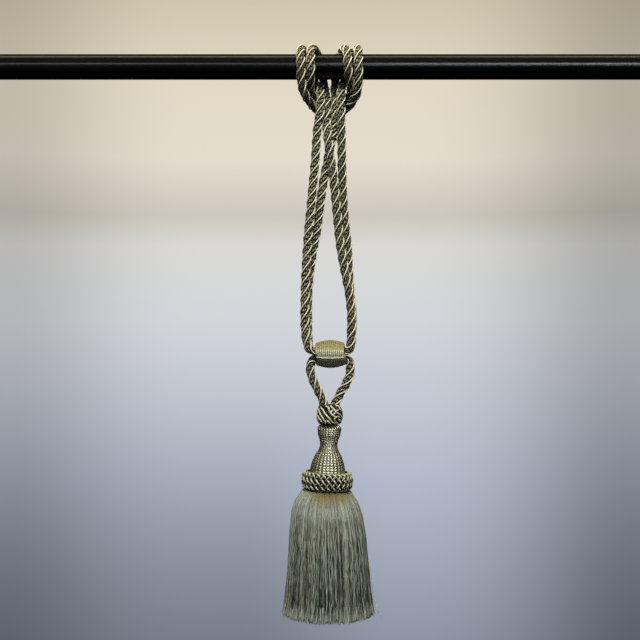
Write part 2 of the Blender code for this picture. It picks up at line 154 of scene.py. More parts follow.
# Strands that show on the front of the top knot: each a run of points, with
# the angle in degrees, the height and how far the strand rides over the knot,
# in millimetres. They come again at the back.
KNOT_STRANDS = (
    ((-84, -340.4, -0.6), (-55, -343.9, 0.3), (-44, -347.2, 0.4), (-33, -350, 0.4),
     (-28, -352.6, 0.2), (-31, -355.2, -1.2)),
    ((-63, -338.9, -0.8), (-31, -342.6, 0.3), (-24, -345, 0.4), (-15, -347.2, 0.5),
     (-7, -349.2, 0.5), (1, -350.9, 0.3), (7, -353.2, 0.2), (18, -355, 0.1), (41, -356.2, -0.6)),
    ((-84, -343.9, -0.4), (-72, -347.7, 0), (-58, -350.4, 0.1), (-47, -352.3, 0.2),
     (-43, -354.2, 0.1), (-50, -356.3, -1)),
    ((-86, -347.4, -0.2), (-80, -351.4, 0.1), (-72, -356.5, -0.4)),
    ((-23, -338.5, -0.4), (-8, -339.7, 0.5), (-3, -341.7, 0.4), (0, -344, -0.4),
     (9, -346.8, -1.2)),
    ((5, -338.2, -0.2), (14, -340.1, 0.3), (20, -341.4, 0.4), (27, -343.2, 0.3),
     (33, -344.8, 0.4), (43, -345.8, 0.4), (52, -347.1, 0.4), (62, -349.3, 0.4),
     (70, -351.2, 0.3), (74, -352.7, -0.2), (67, -353.6, -1)),
    ((16, -342.3, -0.5), (7, -343.8, 0.2), (6, -345.3, 0.3), (12, -347.2, 0.4), (20, -348.5, 0.5),
     (25, -349.8, 0.5), (22, -351.2, 0.3), (26, -353, 0), (34, -354.8, 0), (63, -356.2, -0.4)),
    ((37, -338.4, -0.4), (50, -338.9, 0.3), (55, -339.9, 0.5), (57, -341.7, 0.4),
     (66, -343.6, 0.3), (78, -346.4, 0.1), (84, -350.9, -0.2), (82, -354.4, -0.8)),
    ((42, -351.2, -0.8), (53, -352.7, 0.3), (72, -354.6, 0.2), (84, -356.5, -0.8)),
    ((-15, -352.2, -0.8), (-7, -353.4, 0.4), (-2, -355, 0.3), (1, -356.2, -0.9)),
    ((-24, -352.3, -0.9), (-22, -354.2, 0.2), (-26, -356.1, -0.8)),
    ((46, -341.8, -0.4), (27, -344.3, 0), (21, -346.2, 0), (13, -348.4, -0.8)),
    ((56, -349.8, -0.4), (38, -348.9, 0.1), (29, -349.2, 0.2), (23, -350.4, 0)),
)

# Skirt: for each section its height, its radius and how far its centre lies
# from the knot's, in millimetres
SKIRT_PROFILE = (
    (-422.2, 20, -2.8), (-422.8, 24.4, -2.8), (-428, 27.4, -2.9), (-434.5, 32, -2.9),
    (-446, 35.8, -2.7), (-465, 38.4, -1.9), (-487, 40.1, -1.4), (-508, 42, -1.2),
    (-525, 43.4, -1.1), (-544, 45.2, -1.2),
)
SKIRT_CORE_HEIGHTS = (-422, -423.5, -428, -434.5, -446, -465, -487, -508, -525, -537)


class Lay(Enum):
    """Which way a strand turns as it runs along its cord."""

    Z = 1
    S = -1


def linear(red: int, green: int, blue: int) -> tuple[float, float, float, float]:
    """Turn a display colour into the linear colour that shaders take.

    Args:
        red: Red, 0 to 255.
        green: Green, 0 to 255.
        blue: Blue, 0 to 255.

    Returns:
        The linear colour with full alpha.
    """
    parts = []
    for value in (red, green, blue):
        share = value / 255
        parts.append(share / 12.92 if share <= 0.04045 else ((share + 0.055) / 1.055) ** 2.4)
    return (*parts, 1.0)


def operator(operation: str, reflected: bool = False) -> Callable[["Sock", object], "Sock"]:
    """Make one of a socket's arithmetic operators.

    Args:
        operation: The Math node's operation.
        reflected: Whether the socket stands second, as in 1 - socket.

    Returns:
        The operator, which adds one Math node.
    """
    def operate(sock: "Sock", other: object) -> "Sock":
        """Return the node's result."""
        return sock.math(operation, *((other, sock) if reflected else (sock, other)))
    return operate


class Sock:
    """A shader socket on which Python's arithmetic adds Math nodes."""

    def __init__(self, graph: "Graph", socket: NodeSocket) -> None:
        """Keep the socket and the graph that it belongs to."""
        self.graph = graph
        self.socket = socket

    def math(self, operation: str, *values: object) -> "Sock":
        """Add a Math node with those values or links, and return its result."""
        inputs = dict(enumerate(values))
        return self.graph.node("ShaderNodeMath", {"operation": operation}, inputs)

    __add__ = operator("ADD")
    __radd__ = operator("ADD", reflected=True)
    __sub__ = operator("SUBTRACT")
    __rsub__ = operator("SUBTRACT", reflected=True)
    __mul__ = operator("MULTIPLY")
    __rmul__ = operator("MULTIPLY", reflected=True)
    __truediv__ = operator("DIVIDE")
    __pow__ = operator("POWER")

    def __abs__(self) -> "Sock":
        """Return the absolute value."""
        return self.math("ABSOLUTE", self)

    def sine(self) -> "Sock":
        """Return the sine of an angle in radians."""
        return self.math("SINE", self)

    def band(self, low: float, high: float) -> "Sock":
        """Return a smooth step, from 0 at low to 1 at high."""
        settings = {"interpolation_type": "SMOOTHSTEP"}
        return self.graph.node("ShaderNodeMapRange", settings, {0: self, 1: low, 2: high})


class Graph:
    """The node tree of a material, with a Principled shader, or of the world."""

    def __init__(self, name: str, world: bool = False) -> None:
        """Make a material with an empty Principled shader, or the scene's world.

        Args:
            name: Its name.
            world: Whether it is the world; its output then stands for the shader.
        """
        if world:
            self.material = bpy.data.worlds.new(name)
            bpy.context.scene.world = self.material
        else:
            self.material = bpy.data.materials.new(name)
        self.material.use_nodes = True
        self.tree = self.material.node_tree
        self.shader = self.tree.nodes["World Output" if world else "Principled BSDF"]

    def node(self, kind: str, settings: dict | None = None, inputs: dict | None = None,
             output: int | str = 0) -> Sock:
        """Add any node.

        Args:
            kind: The node's type.
            settings: Its properties, set first; "stops" holds a ramp's stops.
            inputs: Values or links by socket, each by its number or name.
            output: Which output is wanted.

        Returns:
            That output.
        """
        made = self.tree.nodes.new(kind)
        for key, value in (settings or {}).items():
            if key == "stops":
                self._set_stops(made.color_ramp, value)
            else:
                setattr(made, key, value)
        for key, value in (inputs or {}).items():
            self.feed(made.inputs[key], value)
        return Sock(self, made.outputs[output])

    @staticmethod
    def _set_stops(ramp: bpy.types.ColorRamp, stops: tuple) -> None:
        """Set a ramp's stops.

        Args:
            ramp: The ramp.
            stops: A position and a linear colour for each stop.
        """
        while len(ramp.elements) < len(stops):
            ramp.elements.new(1.0)
        for element, (position, colour) in zip(ramp.elements, stops):
            element.position = position
            element.color = colour

    def feed(self, socket: NodeSocket, value: object) -> None:
        """Link a Sock to a socket, or set a plain value on it.

        Args:
            socket: The socket that takes it.
            value: A Sock, or a plain value.
        """
        if isinstance(value, Sock):
            self.tree.links.new(value.socket, socket)
        else:
            socket.default_value = value

    def dress(self, **values: object) -> Material:
        """Set or link the shader's sockets.

        Args:
            **values: Socket names, with spaces written as underscores.

        Returns:
            The finished material.
        """
        for key, value in values.items():
            self.feed(self.shader.inputs[key.replace("_", " ")], value)
        return self.material

    def mix(self, factor: object, first: object, second: object, blend: str = "MIX") -> Sock:
        """Return a mix of two colours, the factor being the share of the second."""
        settings = {"data_type": "RGBA", "blend_type": blend}
        return self.node("ShaderNodeMix", settings, {0: factor, 6: first, 7: second}, 2)

    def noise(self, scale: float, detail: float = 2.0, stretch: tuple = (1, 1, 1)) -> Sock:
        """Read a noise on Object coordinates.

        Args:
            scale: Features in a metre, about.
            detail: Octaves.
            stretch: Scale along each axis.

        Returns:
            The noise's value, 0 to 1.
        """
        place = self.node("ShaderNodeTexCoord", output="Object")
        mapped = self.node("ShaderNodeMapping", None, {"Vector": place, "Scale": stretch})
        inputs = {"Vector": mapped, "Scale": scale, "Detail": detail}
        return self.node("ShaderNodeTexNoise", None, inputs)

    def axis(self, vector: Sock, number: int) -> Sock:
        """Return one part of a vector, 0 for the first."""
        return self.node("ShaderNodeSeparateXYZ", None, {0: vector}, number)

    def strand_axes(self) -> tuple[Sock, Sock]:
        """Return how far round a strand, in turns, and along it, in millimetres."""
        chart = self.node("ShaderNodeUVMap", {"uv_map": StrandMesh.CHART})
        return self.axis(chart, 0), self.axis(chart, 1)

    def value(self, name: str) -> Sock:
        """Read one of a strand's own values, 0 to 1, by its name."""
        return self.node("ShaderNodeAttribute", {"attribute_name": name}, None, "Fac")

    def shade(self, deep: float) -> Sock:
        """Return the painted shade that darkens a strand's colour, from deep in the gaps to 1 in
        the open.
        """
        return self.value(StrandMesh.SHADE) * (1 - deep) + deep

    def scaled(self, colour: object, factor: Sock) -> Sock:
        """Return a colour times a factor."""
        grey = self.node("ShaderNodeCombineColor", None, {0: factor, 1: factor, 2: factor})
        return self.mix(1.0, colour, grey, "MULTIPLY")

    def bump(self, height: Sock, distance: float) -> Sock:
        """Return the normal of a height, 0 to 1, that stands for a distance in metres."""
        return self.node("ShaderNodeBump", None, {"Height": height, "Distance": distance,
                                                  "Strength": 1.0})


@dataclass(frozen=True)
class TwistFinish:
    """Thread that is twisted from a light and a dark strand."""

    name: str
    light: tuple
    dark: tuple
    turn: float                     # millimetres along for one turn of the strands
    strands: int = 2
    lay: Lay = Lay.Z
    balance: float = 0.0            # above 0 shows more of the light strand
    edge: float = 0.55              # how soft the strands' border is
    uneven: float = 1.2             # how much the colours wander
    relief: float = 0.12 * MM
    roughness: float = 0.36
    gloss: float = 1.0
    index: float = 1.5              # index of refraction; a high one shines like silk
    tint: tuple = (1.0, 1.0, 1.0, 1.0)      # colour of its shine
    grain: float = 0.35             # how much its fibres vary the colour
    fuzz: float = 0.3               # how much they vary relief and roughness
    dull: float = 0.5               # how much rougher it is in the gaps
    deep: float = 0.12              # share of the colour that the painted shade leaves in the gaps
    blotches: float = 420.0         # in a metre, about
    fibres: float = 2600.0          # in a metre, about
    round_off: float = 0.8          # share of the relief that follows the strands
    darkest: float = 0.62           # brightness of a strand whose tone is 0
    tones: float = 0.75             # how much brighter it is at a tone of 1

    def material(self) -> Material:
        """Build the thread's material.

        Returns:
            The material.
        """
        graph = Graph(self.name)
        round_it, along = graph.strand_axes()
        phase = (round_it * self.lay.value + along / self.turn) * (TAU * self.strands)
        uneven = graph.noise(self.blotches, 3.0)
        fibre = graph.noise(self.fibres)
        share = phase.sine() + (uneven - 0.5) * self.uneven + self.balance
        colour = graph.mix(share.band(-self.edge, self.edge), self.dark, self.light)
        tone = graph.value(StrandMesh.TONE) * self.tones + self.darkest
        tone = tone + (fibre - 0.5) * self.grain
        # Painted shade: the strands' shade attribute darkens the colour in the gaps
        shade = graph.shade(self.deep)
        height = abs((phase * 0.5).sine()) * self.round_off + fibre * self.fuzz
        return graph.dress(
            Base_Color=graph.scaled(colour, tone * shade),
            Roughness=self.roughness + (fibre - 0.5) * self.fuzz + (1 - shade) * self.dull,
            Normal=graph.bump(height, self.relief),
            Specular_IOR_Level=self.gloss,
            Specular_Tint=self.tint,
            IOR=self.index,
        )


@dataclass(frozen=True)
class YarnFinish:
    """Loose cut yarn, sage, with a golden band painted under the ruff as its shade and warm
    bounced light.
    """

    name: str
    pale: tuple
    dark: tuple
    bound: tuple                    # painted colour under the ruff, for its shade and warm bounced light
    under_ruff_top: float = -424 * MM    # heights where that is full and gone
    under_ruff_foot: float = -440 * MM
    under_ruff_side: float = 27 * MM     # how far to the sides it reaches
    under_ruff_middle: float = 3 * MM    # where it is strongest, along X
    under_ruff_fade: tuple = (0.35, 1.15)        # shares of the reach where it thins out
    under_ruff_ragged: float = 12 * MM   # how unevenly it ends below
    under_ruff_tone: float = 0.3         # how much less of it the dark yarns take
    smooth_top: float = -440 * MM   # the yarn is even above this height
    smooth_foot: float = -475 * MM  # and as mottled as it gets below this one
    smooth: float = 0.45            # how even it is at the top
    level: float = 0.43             # share of the pale colour there
    tip_top: float = -528 * MM
    tip_foot: float = -541 * MM
    tip: float = 0.65               # how much paler the tips are, a painted highlight where the cut ends catch the light
    cool: tuple = linear(88, 112, 96)       # what its patches lean to
    warm: tuple = linear(122, 106, 84)
    lean: float = 0.16              # how far
    patches: float = 38.0           # in a metre, about
    patch_edge: tuple = (0.38, 0.62)        # values of their noise from cool to warm
    streaks: float = 900.0
    fibres: float = 2400.0
    tones: float = 0.9              # how much the yarns' own tones count
    contrast: float = 1.6           # how much the streaks do
    turn: float = 3.4               # millimetres along for one turn of the yarn's twist
    apart: float = 9.0              # turns by which a tone of 1 is ahead of a tone of 0
    twist: float = 0.25             # share of the relief that follows it
    fuzz: float = 0.3               # how much the fibres vary the roughness
    relief: float = 0.12 * MM
    deep: float = 0.10              # share of the colour that the painted shade leaves in the gaps
    roughness: float = 0.4
    gloss: float = 0.6
    index: float = 1.5

    def material(self) -> Material:
        """Build the yarn's material.

        Returns:
            The material.
        """
        graph = Graph(self.name)
        tone = graph.value(StrandMesh.TONE)
        streak = graph.noise(self.streaks, 2.0, (1, 1, 0.05)) - 0.5
        fibre = graph.noise(self.fibres, 2.0, (1, 1, 0.15))
        place = graph.node("ShaderNodeTexCoord", output="Object")
        height = graph.axis(place, 2)
        colour = self._mottled(graph, tone, streak, height)
        # A golden band painted under the ruff, standing for its shade and warm bounced light
        aside = abs(graph.axis(place, 0) - self.under_ruff_middle) / self.under_ruff_side
        gold = (height + streak * self.under_ruff_ragged).band(self.under_ruff_foot, self.under_ruff_top)
        gold = gold * (1 - aside.band(*self.under_ruff_fade))
        gold = gold * (tone * self.under_ruff_tone + (1 - self.under_ruff_tone))
        colour = graph.mix(gold, colour, self.bound)
        round_it, along = graph.strand_axes()
        twist = ((round_it * 2 + along / self.turn + tone * self.apart) * TAU).sine()
        # Painted shade: the strands' shade attribute darkens the colour in the gaps
        return graph.dress(
            Base_Color=graph.scaled(colour, graph.shade(self.deep)),
            Roughness=self.roughness + (fibre - 0.5) * self.fuzz,
            Normal=graph.bump(twist * self.twist + fibre, self.relief),
            Specular_IOR_Level=self.gloss,
            IOR=self.index,
        )

    def _mottled(self, graph: Graph, tone: Sock, streak: Sock, height: Sock) -> Sock:
        """Colour the loose yarn: pale and dark, with warm and cool patches.

        Args:
            graph: The material's nodes.
            tone: The yarn's own tone.
            streak: A noise that runs along the yarn, -0.5 to 0.5.
            height: Height over the origin.

        Returns:
            The colour.
        """
        # Painted highlight: the tips are made paler
        tips = height.band(self.tip_top, self.tip_foot) * self.tip
        share = (tone * self.tones + streak * self.contrast + tips).band(0.0, 1.0)
        smooth = height.band(self.smooth_foot, self.smooth_top) * self.smooth
        share = share + (self.level - share) * smooth
        colour = graph.mix(share, self.dark, self.pale)
        patch = graph.noise(self.patches, 1.0, (1, 1, 0.6)).band(*self.patch_edge)
        return graph.mix(patch, graph.mix(self.lean, colour, self.cool),
                         graph.mix(self.lean, colour, self.warm))


@dataclass(frozen=True)
class PaintFinish:
    """Gloss paint on a steel tube, with faint orange peel and dust."""

    name: str
    colour: tuple
    dust: tuple
    roughness: float
    gloss: float
    specks: float = 900.0           # in a metre, about
    speck_edge: tuple = (0.68, 0.80)        # values of their noise where they set in
    dusty: float = 0.35             # how much of a speck shows
    dull: float = 0.2               # how much rougher it is
    wears: float = 35.0             # in a metre, about
    wear: float = 0.12              # how much the roughness wanders
    peels: float = 260.0            # in a metre, about
    peel: float = 0.05 * MM

    def material(self) -> Material:
        """Build the paint's material.

        Returns:
            The material.
        """
        graph = Graph(self.name)
        peel = graph.noise(self.peels, 2.0, (0.4, 1, 1))
        speck = graph.noise(self.specks, 4.0).band(*self.speck_edge)
        wear = graph.noise(self.wears, 3.0, (0.25, 1, 1))
        return graph.dress(
            Base_Color=graph.mix(speck * self.dusty, self.colour, self.dust),
            Roughness=self.roughness + (wear - 0.5) * self.wear + speck * self.dull,
            Normal=graph.bump(peel, self.peel),
            Specular_IOR_Level=self.gloss,
        )


@dataclass(frozen=True)
class PlainFinish:
    """An even, matt surface with a little unevenness, for cores and floor."""

    name: str
    colour: tuple
    shade: tuple
    grains: float                   # in a metre, about
    roughness: float = 0.9
    relief: float = 0.1 * MM

    def material(self) -> Material:
        """Build the material.

        Returns:
            The material.
        """
        graph = Graph(self.name)
        grain = graph.noise(self.grains, 3.0)
        return graph.dress(
            Base_Color=graph.mix(grain, self.colour, self.shade),
            Roughness=self.roughness,
            Normal=graph.bump(grain, self.relief),
        )


# Colours of the threads, cords and yarns, and of the rod's paint
PALE_GIMP = linear(238, 234, 200)
PALE_GIMP_SHADE = linear(205, 200, 160)
KHAKI = linear(180, 176, 144)
OLIVE_BLACK = linear(42, 40, 22)
STRAW = linear(167, 152, 88)
STRAW_SHADE = linear(142, 130, 78)
PALE_CORD = linear(244, 241, 203)
PALE_CORD_SHADE = linear(154, 149, 106)
RUFF_CORD = linear(244, 243, 204)
RUFF_CORD_SHADE = linear(152, 150, 108)
RUFF_DARK = linear(24, 21, 9)
DARK_CORD = linear(34, 31, 14)
BROWN_BLACK = linear(14, 12, 4)
BEAD = linear(80, 70, 29)
BEAD_SHADE = linear(50, 43, 18)
SAGE_PALE = linear(240, 250, 231)
SAGE_DEEP = linear(40, 45, 35)
# Painted under the ruff as its shade and warm bounced light
PAINTED_UNDER_RUFF_GOLD = linear(140, 124, 64)
# The cores are painted dark brown as shade: they stand for the dark gaps under the coverings and
# inside the skirt
CORE_SHADOW_BROWN = linear(44, 42, 24)
CORE_SHADE = linear(30, 29, 16)
ROD_BLACK = (0.005, 0.0051, 0.0053, 1)
ROD_DUST = (0.02, 0.02, 0.02, 1)


def square_to(ahead: Array, outward: Array | None) -> Array:
    """Work out a direction across each strand, point by point.

    Args:
        ahead: Unit tangents, strands x points x 3.
        outward: The wanted direction at each point; with none, a direction is
            carried along without turning.

    Returns:
        Unit vectors square to the tangents.
    """
    if outward is not None:
        side = outward - (outward * ahead).sum(2, keepdims=True) * ahead
        return side / np.linalg.norm(side, axis=2, keepdims=True)
    side = np.zeros_like(ahead)
    first = np.cross(ahead[:, 0], ASKEW)
    side[:, 0] = first / np.linalg.norm(first, axis=1, keepdims=True)
    for i in range(1, ahead.shape[1]):
        here = ahead[:, i]
        carried = side[:, i - 1]
        carried = carried - (carried * here).sum(1, keepdims=True) * here
        side[:, i] = carried / np.linalg.norm(carried, axis=1, keepdims=True)
    return side


@dataclass
class StrandMesh:
    """Collects round strands and makes one mesh of them.

    Each strand keeps a chart, round it in turns and along it in millimetres,
    and two values that the finishes read: a tone of its own, and how open to
    the light it is, which they paint into the colour as shade.
    """

    CHART = "strand"
    TONE = "tone"
    SHADE = "shade"

    name: str
    sides: int                      # of a strand's section
    batches: list = field(default_factory=list)

    def add(self, paths: Array, radii: Array | float, tones: Array | float = 0.5,
            oval: float = 1.0, outward: Array | None = None,
            shade: Callable[[Array], Array] | None = None) -> None:
        """Add strands that have the same number of points.

        Args:
            paths: Points, as strands x points x 3, in metres.
            radii: Radius of each point, or one for all.
            tones: Tone of each strand, or one for all.
            oval: Width over thickness of the section.
            outward: Direction of the section's thickness at each point; with
                none, the section is carried along without turning.
            shade: Works out how open to the light each vertex is, 0 to 1, from
                the vertices; with none, all are open.
        """
        count, points = paths.shape[:2]
        ahead = np.gradient(paths, axis=1)
        ahead /= np.linalg.norm(ahead, axis=2, keepdims=True)
        side = square_to(ahead, outward)
        other = np.cross(ahead, side)
        radii = np.broadcast_to(np.asarray(radii, float), (count, points))
        angles = np.arange(self.sides) * TAU / self.sides
        across = np.cos(angles)[None, None, :, None] * side[:, :, None, :]
        across = across + oval * np.sin(angles)[None, None, :, None] * other[:, :, None, :]
        shell = paths[:, :, None, :] + radii[:, :, None, None] * across
        steps = np.linalg.norm(np.diff(paths, axis=1), axis=2)
        along = np.concatenate([np.zeros((count, 1)), np.cumsum(steps, axis=1)], axis=1)
        tones = np.broadcast_to(np.asarray(tones, float), (count,))
        light = np.ones(shell.shape[:3]) if shade is None else shade(shell)
        light = np.broadcast_to(light, shell.shape[:3])
        self.batches.append((shell, along / MM, tones, light))

    def _faces(self, count: int, points: int, first: int) -> tuple[Array, Array]:
        """List a batch's quads and end caps.

        Args:
            count: Strands.
            points: Points in each.
            first: Number of the batch's first vertex.

        Returns:
            Quads x 4 and caps x sides, as vertex numbers.
        """
        sides = self.sides
        grid = first + np.arange(count * points * sides).reshape(count, points, sides)
        turned = np.roll(grid, -1, axis=2)
        quads = np.stack([grid[:, :-1], turned[:, :-1], turned[:, 1:], grid[:, 1:]], axis=-1)
        caps = np.concatenate([grid[:, 0, ::-1], grid[:, -1]])
        return quads.reshape(-1, 4), caps

    def _charts(self, along: Array) -> list[Array]:
        """Chart the corners of a batch's quads and end caps.

        Args:
            along: How far along its strand each point lies.

        Returns:
            The quads' charts and the caps', corners x 2 each.
        """
        sides = self.sides
        count, points = along.shape
        turn = np.arange(sides) / sides
        quad_turn = np.stack([turn, turn + 1 / sides, turn + 1 / sides, turn], axis=-1)
        quad_turn = np.broadcast_to(quad_turn, (count, points - 1, sides, 4))
        low = np.broadcast_to(along[:, :-1, None], (count, points - 1, sides))
        high = np.broadcast_to(along[:, 1:, None], (count, points - 1, sides))
        quad_along = np.stack([low, low, high, high], axis=-1)
        cap_along = np.concatenate([along[:, 0], along[:, -1]])
        return [np.stack([quad_turn, quad_along], axis=-1).reshape(-1, 2),
                np.stack([np.tile(turn, 2 * count), np.repeat(cap_along, sides)], axis=-1)]

    def build(self, material: Material) -> Object:
        """Make the mesh object.

        Args:
            material: What it is dressed in.

        Returns:
            The object, at the origin.
        """
        corners, totals, charts, places, tones_in, light_in = [], [], [], [], [], []
        first = 0
        for shell, along, tones, light in self.batches:
            count, points = along.shape
            for faces in self._faces(count, points, first):
                corners.append(faces.ravel())
                totals.append(np.full(len(faces), faces.shape[1]))
            charts += self._charts(along)
            places.append(shell.reshape(-1, 3))
            tones_in.append(np.repeat(tones, points * self.sides))
            light_in.append(light.ravel())
            first += count * points * self.sides
        mesh = bpy.data.meshes.new(self.name)
        corners, totals = np.concatenate(corners), np.concatenate(totals)
        mesh.vertices.add(first)
        mesh.loops.add(len(corners))
        mesh.polygons.add(len(totals))
        self._set(mesh.vertices, "co", np.concatenate(places), np.float32)
        self._set(mesh.loops, "vertex_index", corners, np.int32)
        starts = np.concatenate([[0], np.cumsum(totals)[:-1]])
        self._set(mesh.polygons, "loop_start", starts, np.int32)
        self._set(mesh.polygons, "loop_total", totals, np.int32)
        mesh.update(calc_edges=True)
        chart = mesh.uv_layers.new(name=self.CHART)
        self._set(chart.data, "uv", np.concatenate(charts), np.float32)
        for name, values in ((self.TONE, tones_in), (self.SHADE, light_in)):
            layer = mesh.attributes.new(name, "FLOAT", "POINT")
            self._set(layer.data, "value", np.concatenate(values), np.float32)
        mesh.shade_smooth()
        mesh.materials.append(material)
        piece = bpy.data.objects.new(self.name, mesh)
        bpy.context.scene.collection.objects.link(piece)
        return piece

    @staticmethod
    def _set(target: bpy.types.bpy_prop_collection, name: str, values: Array, kind: type) -> None:
        """Set one property of all of a mesh's parts at once."""
        target.foreach_set(name, values.astype(kind).ravel())


def smooth_step(value: Array, low: float, high: float) -> Array:
    """Return a smooth step of the values, from 0 at low to 1 at high."""
    share = np.clip((value - low) / (high - low), 0.0, 1.0)
    return share * share * (3 - 2 * share)


def opening(base: Array, out: Array, lit: tuple, light: Array | float = 1.0,
            least: float = 0.0) -> Callable[[Array], Array]:
    """Make the rule for how open to the light the strands over a surface are, painted as shade.

    Args:
        base: The surface's point under each of theirs.
        out: Its outward direction there.
        lit: How far out the strands are dark, and how far out they are lit.
        light: Share of the light that reaches each point.
        least: Share of it that reaches the dark.

    Returns:
        The rule, which takes the strands' vertices.
    """
    def rule(shell: Array) -> Array:
        """Return how open each vertex is, 0 to 1."""
        lift = ((shell - base[..., None, :]) * out[..., None, :]).sum(axis=-1)
        return (least + (1 - least) * smooth_step(lift, *lit)) * np.asarray(light)[..., None]
    return rule


def deselect_all() -> None:
    """Leave edit mode and deselect every object."""
    if bpy.context.object is not None and bpy.context.object.mode != "OBJECT":
        bpy.ops.object.mode_set(mode="OBJECT")
    bpy.ops.object.select_all(action="DESELECT")


def turned_core(name: str, profile: list[tuple[float, float]], sides: int, material: Material,
                bored: bool = False) -> Object:
    """Model a turned solid about the Z axis, ring by ring, as on a lathe.

    Args:
        name: The piece's name.
        profile: Radius and height of each ring, in metres.
        sides: Sides of the circle.
        material: What it is dressed in.
        bored: Whether a bore runs through it, from the first ring to the last.

    Returns:
        The piece, with its place in its mesh.
    """
    deselect_all()
    radius, height = profile[0]
    bpy.ops.mesh.primitive_circle_add(
        vertices=sides, radius=radius, fill_type="NOTHING" if bored else "NGON",
        location=(0, 0, height))
    piece = bpy.context.object
    piece.name = piece.data.name = name
    bpy.ops.object.mode_set(mode="EDIT")
    bpy.ops.mesh.select_all(action="SELECT")
    for wider, further in profile[1:]:
        bpy.ops.mesh.extrude_region_move(
            TRANSFORM_OT_translate={"value": (0, 0, further - height)})
        scale = wider / radius
        bpy.ops.transform.resize(value=(scale, scale, 1), center_override=(0, 0, further))
        radius, height = wider, further
    if bored:
        bpy.ops.mesh.select_mode(type="EDGE")
        bpy.ops.mesh.select_all(action="DESELECT")
        bpy.ops.mesh.select_non_manifold()
        bpy.ops.mesh.bridge_edge_loops()
    bpy.ops.mesh.select_all(action="SELECT")
    bpy.ops.mesh.normals_make_consistent(inside=False)
    bpy.ops.object.mode_set(mode="OBJECT")
    bpy.ops.object.transform_apply(location=True, rotation=True, scale=True)
    bpy.ops.object.shade_smooth_by_angle(angle=SMOOTH_ANGLE)
    piece.data.materials.append(material)
    piece.select_set(False)
    return piece


def under_knot() -> Matrix:
    """Return how the mould and the ruff lean under the knot.

    Returns:
        The matrix that moves them from upright under the origin to their place.
    """
    pivot = Matrix.Translation((0, 0, KNOT_BOTTOM))
    lean = Matrix.Rotation(TASSEL_LEAN, 4, "Y")
    return Matrix.Translation((TASSEL_X, 0, 0)) @ pivot @ lean @ pivot.inverted()


def moved(points: Array, matrix: Matrix) -> Array:
    """Return points, ... x 3, moved by a 4 x 4 matrix."""
    turn = np.array(matrix)
    return points @ turn[:3, :3].T + turn[:3, 3]


def smooth_route(route: list[Vector]) -> Array:
    """Sample a centripetal Catmull-Rom curve through a route's points.

    Args:
        route: The route's points.

    Returns:
        Dense points on the curve, ... x 3.
    """
    ends = [2 * route[0] - route[1], *route, 2 * route[-1] - route[-2]]
    samples = [route[0].copy()]
    for p0, p1, p2, p3 in zip(ends, ends[1:], ends[2:], ends[3:]):
        t1 = (p1 - p0).length ** 0.5
        t2 = t1 + (p2 - p1).length ** 0.5
        t3 = t2 + (p3 - p2).length ** 0.5
        for step in range(1, ROUTE_SAMPLES + 1):
            t = t1 + (t2 - t1) * step / ROUTE_SAMPLES
            a1 = p0.lerp(p1, t / t1)
            a2 = p1.lerp(p2, (t - t1) / (t2 - t1))
            a3 = p2.lerp(p3, (t - t2) / (t3 - t2))
            b1 = a1.lerp(a2, t / t2)
            b2 = a2.lerp(a3, (t - t1) / (t3 - t1))
            samples.append(b1.lerp(b2, (t - t1) / (t2 - t1)))
    return np.array([tuple(point) for point in samples])


class Centreline:
    """A rope's centreline, with frames that turn as little as they can."""

    def __init__(self, route: list[Vector], step: float) -> None:
        """Sample a smooth curve through the route at an even step.

        Args:
            route: The route's points, in metres.
            step: Distance between samples, about.
        """
        dense = smooth_route(route)
        runs = np.concatenate(
            [[0], np.cumsum(np.linalg.norm(np.diff(dense, axis=0), axis=1))])
        self.length = float(runs[-1])
        count = max(2, round(self.length / step)) + 1
        self.along = np.linspace(0, self.length, count)
        self.points = np.stack(
            [np.interp(self.along, runs, dense[:, k]) for k in range(3)], axis=1)
        ahead = np.gradient(self.points, axis=0)
        ahead /= np.linalg.norm(ahead, axis=1, keepdims=True)
        self.normal = square_to(ahead[None], None)[0]
        self.binormal = np.cross(ahead, self.normal)

    def beside(self, centre: Array, radius: float, phase: Array) -> Array:
        """Return points at a distance and at angles round a line beside the centreline."""
        out = np.cos(phase)[:, None] * self.normal + np.sin(phase)[:, None] * self.binormal
        return centre + radius * out


